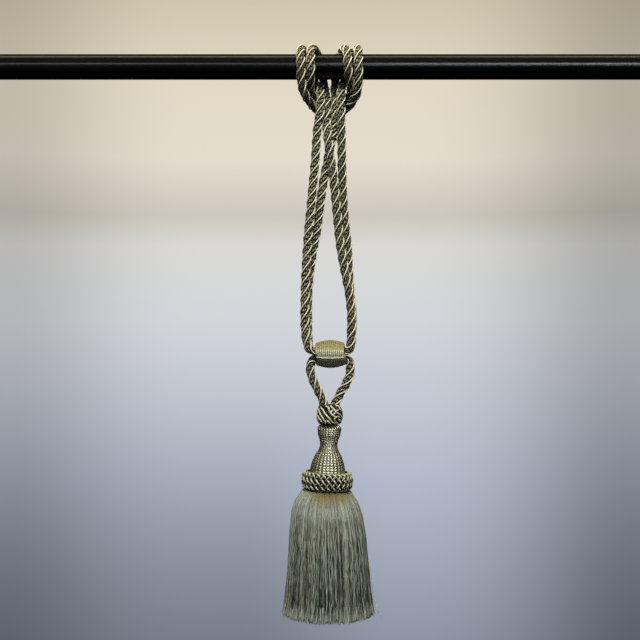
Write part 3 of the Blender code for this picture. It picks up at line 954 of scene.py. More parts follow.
@dataclass
class Rope:
    """Three-ply rope, each ply of yarns, with a gimp cord in each groove."""

    name: str
    node: str
    route: list[Vector]
    step: float
    sides: int
    lay_length: float = 36.5 * MM
    plies: int = 3
    ply_offset: float = 2.0 * MM
    yarns: int = 5
    yarn_offset: float = 1.45 * MM
    yarn_radius: float = 0.84 * MM
    yarn_turn: float = 36.0 * MM
    yarn_tones: tuple = (0.3, 0.75)
    gimp_offset: float = 4.02 * MM
    gimp_radius: float = 0.78 * MM
    gimp_tone: float = 0.6
    groove_radius: float = 3.1 * MM     # within it the yarns get full painted shade, which fades out by the crown
    crown_radius: float = 4.2 * MM
    seed: int = 3

    def build(self, yarn: Material, gimp: Material) -> list:
        """Args:
            yarn: The yarns' material.
            gimp: The gimp cords' material.

        Returns:
            The pieces.
        """
        line = Centreline(self.route, self.step)
        lay = TAU * line.along / self.lay_length
        body = self._body(line, lay).build(yarn)
        cords = self._gimps(line, lay).build(gimp)
        for piece in (body, cords):
            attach(piece, BODY)
        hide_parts(self.node)
        return [body, cords]

    def _body(self, line: Centreline, lay: Array) -> StrandMesh:
        """Twist the yarns of all plies.

        Args:
            line: The rope's centreline.
            lay: The plies' angle at each of its points.

        Returns:
            The yarns.
        """
        chance = np.random.default_rng(self.seed)
        paths = []
        for ply in range(self.plies):
            centre = line.beside(line.points, self.ply_offset, lay + TAU * ply / self.plies)
            for yarn in range(self.yarns):
                turn = -TAU * line.along / self.yarn_turn + TAU * yarn / self.yarns + ply
                paths.append(line.beside(centre, self.yarn_offset, turn))
        strands = StrandMesh(self.name, self.sides)
        strands.add(np.array(paths), self.yarn_radius,
                    chance.uniform(*self.yarn_tones, len(paths)),
                    shade=lambda shell: self._openness(shell, line))
        return strands

    def _openness(self, shell: Array, line: Centreline) -> Array:
        """Return how near the rope's outside each vertex lies, 0 to 1, used as painted shade for
        the yarns deep in the rope.
        """
        reach = np.linalg.norm(shell - line.points[None, :, None, :], axis=3)
        return smooth_step(reach, self.groove_radius, self.crown_radius)

    def _gimps(self, line: Centreline, lay: Array) -> StrandMesh:
        """Lay a gimp cord into each groove between two plies.

        Args:
            line: The rope's centreline.
            lay: The plies' angle at each of its points.

        Returns:
            The cords.
        """
        grooves = [
            line.beside(line.points, self.gimp_offset, lay + TAU * (groove + 0.5) / self.plies)
            for groove in range(self.plies)
        ]
        strands = StrandMesh(self.name + "_gimp", self.sides + 1)
        strands.add(np.array(grooves), self.gimp_radius, self.gimp_tone)
        return strands


def in_metres(points: tuple) -> list[Vector]:
    """Turn a table of millimetre points into vectors in metres."""
    return [Vector(point) * MM for point in points]


def turn_over_rod(along_x: tuple, forwards: bool) -> list[Vector]:
    """List the points of one turn over the rod.

    Args:
        along_x: Where it lies along X at each angle, in millimetres.
        forwards: From back to front, or the other way.

    Returns:
        The points, in metres.
    """
    points = []
    for x, angle in zip(along_x, HITCH_ANGLES):
        phase = math.radians(angle)
        points.append(Vector((
            x * MM, HITCH_RADIUS * math.cos(phase), HITCH_RADIUS * math.sin(phase))))
    return points if forwards else points[::-1]


def loop_route() -> list[Vector]:
    """List the whole route of the loop rope, hitch and both legs.

    Returns:
        The points, in metres.
    """
    route = in_metres(RIGHT_FRONT_LEG)
    route += turn_over_rod(INNER_LEFT_TURN, forwards=True)
    route += in_metres(INNER_BIGHT)
    route += turn_over_rod(INNER_RIGHT_TURN, forwards=False)
    route += in_metres(LEFT_REAR_LEG + RIGHT_REAR_LEG)
    route += turn_over_rod(OUTER_RIGHT_TURN, forwards=True)
    route += in_metres(OUTER_BIGHT)
    route += turn_over_rod(OUTER_LEFT_TURN, forwards=False)
    route += in_metres(LEFT_FRONT_LEG)
    return route


class Rod:
    """The curtain rod, a CAD node that only takes its paint here."""

    def build(self) -> list:
        """Paint the rod.

        Returns:
            The piece.
        """
        paint = PaintFinish("rod_gloss", ROD_BLACK, ROD_DUST, roughness=0.2, gloss=0.14)
        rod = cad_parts["rod"]
        rod.data.materials.clear()
        rod.data.materials.append(paint.material())
        return [rod]


def smooth_profile(sections: tuple, blur: float) -> tuple[Array, Array]:
    """Turn a table of sections into a smooth profile, evenly stepped.

    Args:
        sections: Height and radius of each section, top to bottom, in millimetres.
        blur: Length over which corners are rounded, in millimetres.

    Returns:
        Heights, top to bottom, and radii, in metres.
    """
    tops, wide = np.array(sections).T
    heights = np.arange(tops[0], tops[-1], -PROFILE_STEP)
    radii = np.interp(-heights, -tops, wide)
    reach = max(1, round(blur / PROFILE_STEP / 2))
    padded = np.pad(radii, reach, mode="reflect", reflect_type="odd")
    window = np.hanning(2 * reach + 3)[1:-1]
    radii = np.convolve(padded, window / window.sum(), mode="valid")
    return heights * MM, radii * MM


class Round:
    """Measures along and square to the profile of a turned shape."""

    def __init__(self, heights: Array, radii: Array) -> None:
        """Measure a profile.

        Args:
            heights: Its heights, top to bottom.
            radii: Their radii.
        """
        runs = np.hypot(np.diff(heights), np.diff(radii))
        self.run = np.concatenate([[0.0], np.cumsum(runs)])
        self.heights, self.radii = heights, radii
        fall = np.gradient(heights, self.run)
        swell = np.gradient(radii, self.run)
        size = np.hypot(fall, swell)
        self.fall, self.swell = fall / size, swell / size

    @property
    def length(self) -> float:
        """Length of the profile."""
        return float(self.run[-1])

    def run_at(self, height: Array | float) -> Array:
        """Return how far along the profile a height is."""
        return np.interp(-height, -self.heights, self.run)

    def place(self, run: Array, angle: Array, lift: Array | float = 0.0) -> Array:
        """Place points on the turned surface.

        Args:
            run: How far along the profile each point is.
            angle: Its angle about Z, from the front toward +X.
            lift: How far out of the surface it is.

        Returns:
            The points.
        """
        out_r, out_z = self._outward(run)
        radius = np.interp(run, self.run, self.radii) + lift * out_r
        height = np.interp(run, self.run, self.heights) + lift * out_z
        return np.stack(
            [radius * np.sin(angle), -radius * np.cos(angle), height], axis=-1)

    def outward(self, run: Array, angle: Array) -> Array:
        """Return the surface's outward direction at points, as place takes them."""
        out_r, out_z = self._outward(run)
        return np.stack([out_r * np.sin(angle), -out_r * np.cos(angle), out_z], axis=-1)

    def _outward(self, run: Array) -> tuple[Array, Array]:
        """Return the outward direction's parts along the radius and up."""
        return -np.interp(run, self.run, self.fall), np.interp(run, self.run, self.swell)

    def core(self, name: str, inset: float, every: int, sides: int, place: Matrix,
             material: Material) -> Object:
        """Model what a covering lies on, a little inside the profile.

        Args:
            name: The piece's name.
            inset: How far inside.
            every: Which of the profile's steps it takes.
            sides: Sides of the circle.
            place: Where it stands.
            material: What it is dressed in.

        Returns:
            The piece.
        """
        rings = [(max(radius - inset, CORE_LEAST), height) for height, radius in
                 zip(self.heights[::every], self.radii[::every])]
        piece = turned_core(name, rings, sides, material)
        piece.data.transform(place)
        return piece


def dress(pieces: list, node: str) -> list:
    """Hide a CAD node and hang its new pieces on the body.

    Args:
        pieces: The pieces.
        node: The CAD node.

    Returns:
        The pieces.
    """
    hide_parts(node)
    for piece in pieces:
        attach(piece, BODY)
    return pieces


@dataclass
class Slide:
    """The barrel that gathers the ropes, covered in needle-woven thread."""

    centre: Vector
    length: float
    mid_radius: float = 14.0 * MM
    end_radius: float = 10.9 * MM
    bore_radius: float = 10.1 * MM
    turns: int = 14                 # of thread, 2 mm apart
    thickness: float = 0.55 * MM
    overlap: float = 1.14           # width of the thread over its share of the length
    samples: int = 216              # points in one turn of thread
    # Rows where the thread is drawn together, so that the core shows between
    # its turns: the angle in degrees and how much narrower the thread is there
    drawn_rows: tuple = ((-21.0, 0.4), (-5.0, 0.26), (5.0, 0.24), (37.0, 0.2), (58.0, 0.35))
    drawn_width: float = math.radians(2.4)
    ridge_angle: float = math.radians(-15.5)
    ridge_end: float = 0.93         # how near it comes to the barrel's ends
    ridge_lift: float = 0.05 * MM
    ridge_radius: float = 0.60 * MM
    ridge_wave: tuple = (46, 0.012)     # how often and how far, in radians, it wavers
    ridge_points: int = 60
    coils: int = 5                  # of the yarn that closes the bore
    coil_radius: float = 1.25 * MM
    coil_outer: float = 1.1 * MM    # from the bore to the first turn's middle
    coil_inward: float = 1.8 * MM   # how much less than the bore the coil goes inward
    coil_wave: tuple = (31, 0.04)   # how often it wavers, and how far along the barrel
    coil_points: int = 40           # in one turn
    lit: tuple = (-0.715 * MM, -0.11 * MM)      # how far out the thread is dark and lit
    core_end: float = 0.97
    core_rings: int = 9
    core_sides: int = 48

    def build(self, thread: Material, ridge: Material, core: Material) -> list:
        """Build the slide's winding, its ridge cord, its core and the ropes' join.

        Args:
            thread: The winding's material.
            ridge: The ridge cord's.
            core: The core's and the join's.

        Returns:
            The pieces.
        """
        pieces = [self._winding().build(thread), self._ridge().build(ridge),
                  self._core(core), self._join().build(core)]
        return dress(pieces, "slide")

    def _outline(self, across: Array) -> Array:
        """Return the barrel's radius, across running from -1 to 1."""
        return self.end_radius + (self.mid_radius - self.end_radius) * (1 - across ** 2)

    def _place(self, across: Array, angle: Array, radius: Array) -> Array:
        """Place points round the barrel's axis, the angle from the front upward."""
        return np.stack([
            self.centre.x + across * self.length / 2,
            self.centre.y - radius * np.cos(angle),
            self.centre.z + radius * np.sin(angle),
        ], axis=-1)

    def _winding(self) -> StrandMesh:
        """Wind the thread from end to end, drawn together along the rows.

        Returns:
            The thread.
        """
        width = self.length / self.turns / 2
        share = np.linspace(0, 1, self.turns * self.samples + 1)
        across = (2 * share - 1) * (1 - width / self.length)
        angle = TAU * self.turns * share
        drawn = np.zeros_like(angle)
        for row, strength in self.drawn_rows:
            off = (angle - math.radians(row) + math.pi) % TAU - math.pi
            drawn = drawn + strength * np.exp(-(off / self.drawn_width) ** 2)
        thick = self.thickness * (1 - drawn)
        outline = self._outline(across)
        points = self._place(across, angle, outline - self.thickness)
        out = self._place(across, angle, outline) - self._place(across, angle, 0 * outline)
        strands = StrandMesh("slide_winding", 8)
        strands.add(points[None], thick, 0.5, self.overlap * width / self.thickness,
                    out[None], lambda shell: self._openness(shell, outline))
        return strands

    def _openness(self, shell: Array, outline: Array) -> Array:
        """Return how near the barrel's outside, its outline, each vertex lies, 0 to 1, used as
        painted shade in the thread's grooves.
        """
        reach = np.hypot(shell[..., 1] - self.centre.y, shell[..., 2] - self.centre.z)
        return smooth_step(reach - outline[None, :, None], *self.lit)

    def _ridge(self) -> StrandMesh:
        """Lay a cord along the front of the barrel, where the thread is joined.

        Returns:
            The cord.
        """
        across = np.linspace(-self.ridge_end, self.ridge_end, self.ridge_points)
        often, far = self.ridge_wave
        angle = self.ridge_angle + np.sin(across * often) * far
        points = self._place(across, angle, self._outline(across) + self.ridge_lift)
        strands = StrandMesh("slide_ridge", 8)
        strands.add(points[None], self.ridge_radius)
        return strands

    def _join(self) -> StrandMesh:
        """Coil the yarn that binds the ropes' joined ends in the middle of the bore.

        Returns:
            The coil.
        """
        share = np.linspace(0, 1, self.coils * self.coil_points + 1)
        inward = np.maximum(self.coils * share - 1, 0) / (self.coils - 1)
        inward = inward * (self.bore_radius - self.coil_inward)
        often, far = self.coil_wave
        points = self._place(far * np.sin(share * often), TAU * self.coils * share,
                             self.bore_radius - self.coil_outer - inward)
        strands = StrandMesh("slide_join", 8)
        strands.add(points[None], self.coil_radius)
        return strands

    def _core(self, material: Material) -> Object:
        """Model the barrel's core, with its bore.

        Args:
            material: The core's material.

        Returns:
            The piece.
        """
        across = np.linspace(-self.core_end, self.core_end, self.core_rings)
        radii = np.maximum(self._outline(across) - 2 * self.thickness, self.bore_radius)
        rings = [(self.bore_radius, -self.core_end), *zip(radii, across),
                 (self.bore_radius, self.core_end)]
        rings = [(float(radius), float(place) * self.length / 2) for radius, place in rings]
        piece = turned_core("slide_core", rings, self.core_sides, material, bored=True)
        along_x = Matrix.Rotation(math.pi / 2, 4, "Y")
        middle = Vector((self.centre.x, 0, self.centre.z))
        piece.data.transform(Matrix.Translation(middle) @ along_x)
        return piece


@dataclass
class TurksHead:
    """A woven knot round a turned core, its strands laid side by side.

    Each strand runs from edge to edge and back, leads times round the core for
    the bights at each edge, over one strand and under the next.
    """

    name: str
    surface: Round
    leads: int
    bights: int
    offsets: tuple                  # where each cord lies beside the strand's middle
    margin: float                   # from the edge of the core to the strand's turn
    cords: tuple                    # radii of the cords, one for each material
    weave: float                    # how far a strand goes in and out
    start: float                    # angle where the first strand starts
    per_bight: int                  # points in a strand for each bight
    place: Matrix
    sink: float = 0.0               # how much deeper each further material's cords lie
    bias: float = 0.0               # how far the strands that fall to the right stand out
    rest: float = 0.0               # how far the strands' middle lies out of the surface
    swell: float = 0.0              # how much thicker a strand is where it lies over
    rising: tuple = (1.0, 1.0)      # painted shade on the strands that rise: the light they keep, left and right
    right: tuple = (-0.1, 0.5)      # where the right starts and is full, 1 being its edge
    wander: float = 0.25 * MM       # how far a cord strays from its place
    strays: tuple = (9, 17, 29)     # how often, on its way round
    tones: tuple = (0.35, 0.65)
    crossing: float = 3.0           # how quickly a strand changes its level at an edge

    def build(self, materials: tuple, sides: int, seed: int) -> list:
        """Build the knot's cords, one piece for each material.

        Args:
            materials: Materials, taken in turn by the cords from one side on.
            sides: Sides of a cord.
            seed: Seed of the small irregularities.

        Returns:
            The pieces.
        """
        chance = np.random.default_rng(seed)
        meshes = [StrandMesh(f"{self.name}_cord{k + 1}", sides) for k in range(len(materials))]
        rounds = math.gcd(self.leads, self.bights)
        for part in range(rounds):
            run, angle, level = self._path(part / rounds, rounds)
            base = moved(self.surface.place(run, angle), self.place)
            out = moved(self.surface.outward(run, angle), self.place.to_3x3().to_4x4())
            swell = 1 + self.swell * (level - self.rest) / self.weave
            # The rising strands get painted shade, set apart for left and right
            left, right = self.rising
            rises = left + (right - left) * smooth_step(out[:, 0], *self.right)
            light = np.where(np.gradient(run) < 0, rises, 1.0)
            lit = (self.rest - self.weave, self.rest + self.weave + self.cords[0])
            for number, offset in enumerate(self.offsets):
                kind = number % len(meshes)
                points = self._beside(run, angle, level, offset, chance)
                points = moved(points, self.place) - out * (kind * self.sink)
                meshes[kind].add(points[None], self.cords[kind] * swell,
                                 chance.uniform(*self.tones), 1.0, out[None],
                                 opening(base, out, lit, light))
        return [mesh.build(material) for mesh, material in zip(meshes, materials)]

    def _path(self, shift: float, rounds: int) -> tuple[Array, Array, Array]:
        """Trace the middle of one closed strand.

        Args:
            shift: Which of the strands, as a share of a bight.
            rounds: How many strands there are.

        Returns:
            How far along the profile, the angle and the level of each point.
        """
        share = np.linspace(0, 1, self.bights // rounds * self.per_bight + 1)
        stroke = TAU * self.bights / rounds * share
        angle = TAU * self.leads / rounds * share + TAU * shift / self.bights * rounds
        reach = self.surface.length / 2 - self.margin
        run = self.surface.length / 2 - reach * np.cos(stroke)
        falls = np.tanh(self.crossing * np.sin(stroke))
        over = np.cos(self.leads * stroke) * falls if self.leads > 2 else falls
        level = self.rest + self.weave * over + self.bias * falls
        return run, angle + self.start, level

    def _beside(self, run: Array, angle: Array, level: Array, offset: float,
                chance: np.random.Generator) -> Array:
        """Place a cord beside the middle of its strand.

        Args:
            run: How far along the profile the strand's middle is.
            angle: Its angle.
            level: Its height over the surface.
            offset: How far to the side the cord lies.
            chance: Source of the small irregularities.

        Returns:
            The cord's points.
        """
        middle = self.surface.place(run, angle)
        ahead = np.gradient(middle, axis=0)
        ahead /= np.linalg.norm(ahead, axis=1, keepdims=True)
        out = self.surface.outward(run, angle)
        across = np.cross(out, ahead)
        waves = chance.uniform(0.0, TAU, len(self.strays))
        turn = np.linspace(0, 1, len(run)) * TAU
        drift = sum(np.sin(turn * k + wave) for k, wave in zip(self.strays, waves))
        side = offset + self.wander * (drift / len(self.strays))
        return middle + across * side[:, None] + out * level[:, None]


@dataclass
class TopKnot:
    """The turban knot over the tassel's head."""

    middle: float = 12.5 * MM       # radius at its middle and its ends
    end: float = 9.6 * MM
    square: float = 2.4             # how square its section is; 2 is a parabola
    top_gap: float = 0.4 * MM       # from its box to the profile's ends
    foot_gap: float = 0.15 * MM
    steps: int = 81                 # of its profile
    strand: float = 1.0 * MM
    points: int = 28                # in a strand
    strand_tones: tuple = (0.35, 0.3)       # darkest, and how much paler they may be
    reach: float = 12 * MM          # radius at which a strand's table is drawn as a curve
    lit: tuple = (-0.7 * MM, 0.9 * MM)      # how far out a strand is dark and lit

    def build(self, pale: Material, dark: Material, core: Material) -> list:
        """Build the knot's strands, the weave beneath them and its core.

        Args:
            pale: The strands' material.
            dark: The weave's.
            core: The core's.

        Returns:
            The pieces.
        """
        low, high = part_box("top_knot")
        centre = Matrix.Translation(((low.x + high.x) / 2, 0, 0))
        top, foot = high.z - self.top_gap, low.z + self.foot_gap
        share = np.linspace(-1, 1, self.steps)
        radii = self.end + (self.middle - self.end) * (1 - np.abs(share) ** self.square)
        surface = Round(top + (foot - top) * (share + 1) / 2, radii)
        strands = self._strands(surface, centre).build(pale)
        weave = TurksHead(
            "knot", surface, leads=2, bights=9, margin=3.2 * MM,
            offsets=(-2.2 * MM, 0.0, 2.2 * MM), cords=(1.15 * MM,), weave=0.4 * MM,
            rest=-1.3 * MM, start=0.35, per_bight=30, place=centre)
        cords = weave.build((dark,), sides=7, seed=11)
        body = surface.core("knot_core", 1.6 * MM, every=8, sides=40, place=centre,
                            material=core)
        return dress([strands, *cords, body], "top_knot")

    def _strands(self, surface: Round, centre: Matrix) -> StrandMesh:
        """Lay the strands that show, at the front and again at the back.

        Args:
            surface: The knot's profile.
            centre: Where the knot stands.

        Returns:
            The strands.
        """
        mesh = StrandMesh("knot_strands", 8)
        darkest, paler = self.strand_tones
        for number, table in enumerate(KNOT_STRANDS):
            dense = smooth_route([
                Vector((math.radians(angle) * self.reach, height * MM, lift * MM))
                for angle, height, lift in table])
            share = np.linspace(0, len(dense) - 1, self.points)
            angle, height, lift = (np.interp(share, np.arange(len(dense)), column)
                                   for column in dense.T)
            run = surface.run_at(height)
            for turn in (0.0, math.pi):
                place = angle / self.reach + turn
                base = moved(surface.place(run, place), centre)
                out = surface.outward(run, place)
                points = moved(surface.place(run, place, lift), centre)
                mesh.add(points[None], self.strand, darkest + paler * (number * 0.37 % 1), 1.0,
                         out[None], opening(base, out, self.lit))
        return mesh


@dataclass
class Ruff:
    """The plaited collar round the mould's foot."""

    top: float = -404.7 * MM
    foot: float = -421.7 * MM
    steps: int = 121                # of its profile
    radius: float = 18.6 * MM       # at its edges
    bulge: float = 6.2 * MM         # how much wider it is at its middle
    square: float = 2.35            # how square its section is; 2 is round
    groove: float = 0.8 * MM        # depth of the groove round its middle
    groove_at: float = 0.05
    groove_width: float = 0.13

    def build(self, cords: tuple, core: Material) -> list:
        """Build the ruff's cords and its core.

        Args:
            cords: Materials of the pale and the dark cords.
            core: The core's material.

        Returns:
            The pieces.
        """
        share = np.linspace(-1, 1, self.steps)
        squarish = (1 - np.abs(share) ** self.square) ** (1 / self.square)
        groove = self.groove * np.exp(-((share - self.groove_at) / self.groove_width) ** 2)
        radii = self.radius + self.bulge * squarish - groove
        surface = Round(self.top + (self.foot - self.top) * (share + 1) / 2, radii)
        # The ruff's rising strands get painted shade, darker on the left
        weave = TurksHead(
            "ruff", surface, leads=9, bights=26, margin=1.1 * MM,
            offsets=(-0.85 * MM, 0.9 * MM), cords=(0.86 * MM, 0.7 * MM), sink=0.6 * MM,
            weave=0.55 * MM, bias=0.12 * MM, start=0.1, swell=0.2, rising=(0.2, 0.85),
            per_bight=44, place=under_knot())
        woven = weave.build(cords, sides=6, seed=23)
        body = surface.core("ruff_core", 1.0 * MM, every=6, sides=56, place=under_knot(),
                            material=core)
        return dress([*woven, body], "ruff")


@dataclass
class Mould:
    """The turned bell over the ruff, covered in needle-woven cord.

    Each band is the height where it ends, the height of a row in it, the
    share by which its stitches swell and the share of a row by which the
    cord reaches past the row's middle, from the crown down.
    """

    blur: float = 3.0               # length over which its corners are rounded, in mm
    crown: float = -360.6 * MM
    bands: tuple = ((-375.0 * MM, 2.2 * MM, 0.10, 0.70), (-384.5 * MM, 1.3 * MM, 0.0, 0.95),
                    (-408.0 * MM, 2.7 * MM, 0.08, 0.90))
    flute: float = 0.10             # depth of a flute over its width
    stitch_gap_shade: float = 0.94           # how dark the painted shade between two stitches is
    narrow: int = 3                 # how narrow that painted shade is
    columns: int = 23               # stitches in a row
    flatness: float = 1.6           # width of a cord over its thickness
    points_a_bead: int = 8
    lit: tuple = (-1.5, 0.1)        # where a cord is dark and lit, in thicknesses out
    crown_cords: int = 22
    crown_slant: float = 0.42       # radians that each of them turns on its way
    crown_sink: float = 0.35 * MM
    crown_radius: float = 0.78 * MM

    def build(self, thread: Material, core: Material) -> list:
        """Build the mould's winding, its crown cords and its core.

        Args:
            thread: The cord's material.
            core: The core's material.

        Returns:
            The pieces.
        """
        surface = Round(*smooth_profile(MOULD_PROFILE, self.blur))
        winding = StrandMesh("mould_winding", 8)
        first = surface.run_at(self.crown)
        for foot, *row in self.bands:
            last = surface.run_at(foot)
            self._wind(winding, surface, first, last, row)
            first = last
        pieces = [winding.build(thread), self._crown().build(thread)]
        body = surface.core("mould_core", 1.15 * MM, every=16, sides=48, place=under_knot(),
                            material=core)
        return dress(pieces + [body], "mould")

    def _wind(self, mesh: StrandMesh, surface: Round, first: float, last: float,
              row: list[float]) -> None:
        """Lay rows of cord round a stretch of the mould.

        Args:
            mesh: What takes the cord.
            surface: The mould's profile.
            first: Where the rows start along the profile.
            last: Where they end.
            row: Height of a row, swell of a stitch and reach of the cord.
        """
        pitch, swell, reach = row
        rows = max(1, round((last - first) / pitch))
        pitch = (last - first) / rows
        count = self.columns * self.points_a_bead + 2
        angle = TAU * np.arange(count) / (count - 2) + math.pi
        angle = np.broadcast_to(angle, (rows, count))
        run = first + pitch * (np.arange(rows)[:, None] + 0.5 + 0.0 * angle)
        bead = np.cos(angle * self.columns) * swell
        thick = pitch * reach / self.flatness
        radius = np.interp(run, surface.run, surface.radii)
        across = (angle * self.columns / TAU + 0.5) % 1 * 2 - 1
        deep = self.flute * TAU * radius / self.columns * across ** 2
        points = moved(surface.place(run, angle, -thick - deep), under_knot())
        base = moved(surface.place(run, angle), under_knot())
        out = surface.outward(run, angle)
        # Painted shade darkens the cord between two stitches
        stitch_gap_shaded = self.stitch_gap_shade * (0.5 - 0.5 * np.cos(angle * self.columns)) ** self.narrow
        lit = [thick * share for share in self.lit]
        mesh.add(points, thick * (1 + bead), 0.5, self.flatness, out,
                 opening(base, out, lit, 1 - stitch_gap_shaded))

    def _crown(self) -> StrandMesh:
        """Lay slanting cords over the crown, where the winding is made fast.

        Returns:
            The cords.
        """
        heights, radii = np.array(MOULD_CROWN).T * MM
        surface = Round(heights, radii)
        share = np.linspace(0, 1, 14)
        paths = []
        for cord in range(self.crown_cords):
            angle = TAU * cord / self.crown_cords + self.crown_slant * share
            path = surface.place(surface.length * share, angle, -self.crown_sink)
            paths.append(moved(path, under_knot()))
        strands = StrandMesh("mould_crown", 6)
        strands.add(np.array(paths), self.crown_radius, 0.6)
        return strands


@dataclass(frozen=True)
class YarnTier:
    """Yarns of the skirt that lie equally deep."""

    name: str
    count: int
    rings: int
    near: float                     # how deep they lie at least and at most
    far: float
    waves: tuple                    # how often they sway along their length
    sway: float


@dataclass
class Skirt:
    """The skirt of cut yarn, bound under the ruff and ragged at its edge."""

    tiers: tuple = (
        YarnTier("skirt_yarns", 290, 48, 0.0, 0.9 * MM, (0.9, 2.1, 4.3, 8.6), 0.45 * MM),
        YarnTier("skirt_second", 330, 40, 0.6 * MM, 1.5 * MM, (0.8, 1.9, 4.1, 8.0), 0.45 * MM),
        YarnTier("skirt_third", 430, 28, 1.1 * MM, 2.1 * MM, (0.8, 1.9, 4.7), 0.5 * MM),
        YarnTier("skirt_inner", 1300, 15, 1.9 * MM, 3.2 * MM, (0.8, 1.9, 4.3), 0.5 * MM),
    )
    top: float = -421.9 * MM
    foot: float = -545.8 * MM       # where most yarns are cut
    lowest: float = -548.4 * MM     # no yarn ends below this
    highest: float = 9 * MM         # how far above foot the shortest yarns end
    shorter: float = 1.4            # how much shorter yarns are, in millimetres
    longer: float = 0.6             # and how much a whole bunch is longer or shorter
    edge_dip: float = 0.5           # how much shorter they are between two bunches
    crowding: tuple = (0.85, 1.15)  # how unevenly a yarn's points lie along it
    scatter: float = 0.4            # how far it hangs from its place, in shares of a place
    locks: int = 110                # bunches that the yarn gathers in at its edge
    lock_scatter: float = 0.9       # how unevenly they stand, in shares of a place
    gather: float = 0.35            # how closely
    furrow: float = 0.8 * MM        # how deep it is between two bunches
    calm: tuple = (0.03, 0.4)       # shares of the length where its sway sets in
    ripple: float = 0.4 * MM        # how far a yarn goes in and out on its way
    ripples: tuple = (4.3, 9.1)     # and how often
    bound: float = 0.3              # share of its depth that a yarn keeps at its top
    hidden: tuple = (0.2 * MM, 1.6 * MM)        # depths where the shade starts and is full
    dark: float = 0.94              # how dark that is
    dark_from: tuple = (0.15, 0.5)  # shares of the length where it sets in
    lit_from: tuple = (0.93, 0.99)  # and where half of it goes again, at the cut ends
    lock_tone: float = 0.2          # how much of a yarn's tone is its bunch's
    own_tone: tuple = (0.2, 0.8)    # its own is pale or dark rather than between
    splay: float = 2.6 * MM         # how far the ends spread
    tip: float = 0.006              # length of a yarn's pointed end, as a share
    tip_taper: tuple = (0.8, 0.35)  # thickness of its last two points, as shares
    thickness: float = 0.33 * MM
    lit: tuple = (-0.099 * MM, 0.33 * MM)       # how far out a yarn is dark and lit
    gap_light: float = 0.4          # share of the light that reaches its dark
    stray_root: tuple = (41.0, -13.0, -496.0)       # loose threads, in millimetres
    strays: tuple = ((10.4, -4.0, -49.0), (7.6, -4.0, -45.0))   # how far each goes
    stray_curve: float = 2.2
    stray_points: int = 24
    stray_radius: float = 0.22 * MM
    stray_tone: float = 0.7
    ends: int = 2600                # short yarn ends that fill the underside
    ends_reach: float = 42.5 * MM   # radius of the round that they fill
    ends_top: float = -530.0 * MM
    ends_foot: float = -540.2 * MM
    ends_dome: float = 1.0 * MM     # how much higher they end at the middle
    ends_shift: float = -0.6 * MM
    ends_ragged: float = 0.8        # how unevenly they are cut, in millimetres
    ends_lean: float = 0.5          # how far they lean, in millimetres
    ends_spread: float = 0.02       # share by which they spread outwards
    ends_radius: float = 0.62 * MM
    core_inset: float = 3.2 * MM
    core_close: tuple = (0.6, -536.5 * MM)      # the last ring: its share of the width, height
    seed: int = 5

    def build(self, yarn: Material, core: Material) -> list:
        """Build the skirt's yarns, its yarn ends and its core.

        Args:
            yarn: The yarn's material.
            core: The core's material.

        Returns:
            The pieces.
        """
        chance = np.random.default_rng(self.seed)
        pieces = [self._fall(tier, chance).build(yarn) for tier in self.tiers]
        pieces += [self._stray().build(yarn), self._underside(chance).build(yarn),
                   self._core(core)]
        return dress(pieces, "skirt")

    @staticmethod
    def _section(height: Array) -> tuple[Array, Array]:
        """Return the skirt's radius and the shift of its centre at heights, in metres."""
        tops, radii, shifts = np.array(SKIRT_PROFILE).T * MM
        return np.interp(-height, -tops, radii), np.interp(-height, -tops, shifts)

    def _place(self, angle: Array, height: Array, depth: Array) -> Array:
        """Place points in the skirt.

        Args:
            angle: Angle about Z, from the front toward +X.
            height: Height over the origin.
            depth: How far inside the skirt's surface.

        Returns:
            The points.
        """
        radius, shift = self._section(height)
        radius = radius - depth
        head, foot = SKIRT_PROFILE[0][0] * MM, SKIRT_PROFILE[-1][0] * MM
        lean = math.tan(TASSEL_LEAN) * (height - foot) / (head - foot)
        x = radius * np.sin(angle)
        return np.stack([
            x + shift + TASSEL_X, -radius * np.cos(angle), height - lean * x], axis=-1)

    def _fall(self, tier: YarnTier, chance: np.random.Generator) -> StrandMesh:
        """Hang one tier of yarns from under the ruff.

        Args:
            tier: What they are like.
            chance: Source of their irregularities.

        Returns:
            The yarns.
        """
        count = tier.count
        share = np.append(np.linspace(0, 1, tier.rings - 1), 1.0)[None]
        share[0, -2] = 1 - self.tip
        share = share ** chance.uniform(*self.crowding, count)[:, None]
        place = np.arange(count) + chance.uniform(-self.scatter, self.scatter, count)
        angle = TAU * (place / count)[:, None]
        middles = np.arange(self.locks) + chance.uniform(0, self.lock_scatter, self.locks)
        middles = TAU * middles / self.locks
        nearest = np.abs(angle - middles[None]).argmin(axis=1)
        aside = middles[nearest][:, None] - angle
        apart = np.minimum(np.abs(aside) * self.locks / math.pi, 1.5)
        layer = chance.uniform(0, 1, count)[:, None]
        longer = chance.normal(0, self.longer, self.locks)[nearest][:, None]
        shorter = chance.exponential(self.shorter, count)[:, None]
        cut = (self.foot / MM - longer + shorter + self.edge_dip * apart) * MM
        cut = np.clip(cut, self.lowest, self.foot + self.highest)
        height = self.top + (cut - self.top) * share
        sway = self._sway(tier, share, chance)
        angle = angle + aside * self.gather * share ** 3 + sway / self._section(height)[0]
        start = chance.uniform(0, TAU, (2, count))[:, :, None]
        ripple = sum(np.sin(TAU * often * share + phase)
                     for often, phase in zip(self.ripples, start))
        depth = tier.near + layer * (tier.far - tier.near) + self.ripple * (0.5 + 0.5 * ripple)
        depth = depth + self.furrow * apart ** 2 * share ** 2
        depth = np.maximum(depth, 0) * (self.bound + (1 - self.bound) * share)
        splay = self.splay * chance.uniform(0, 1, count)[:, None] * share ** 9
        points = self._place(angle, height, self.thickness + depth - splay)
        taper = np.ones_like(height) * self.thickness
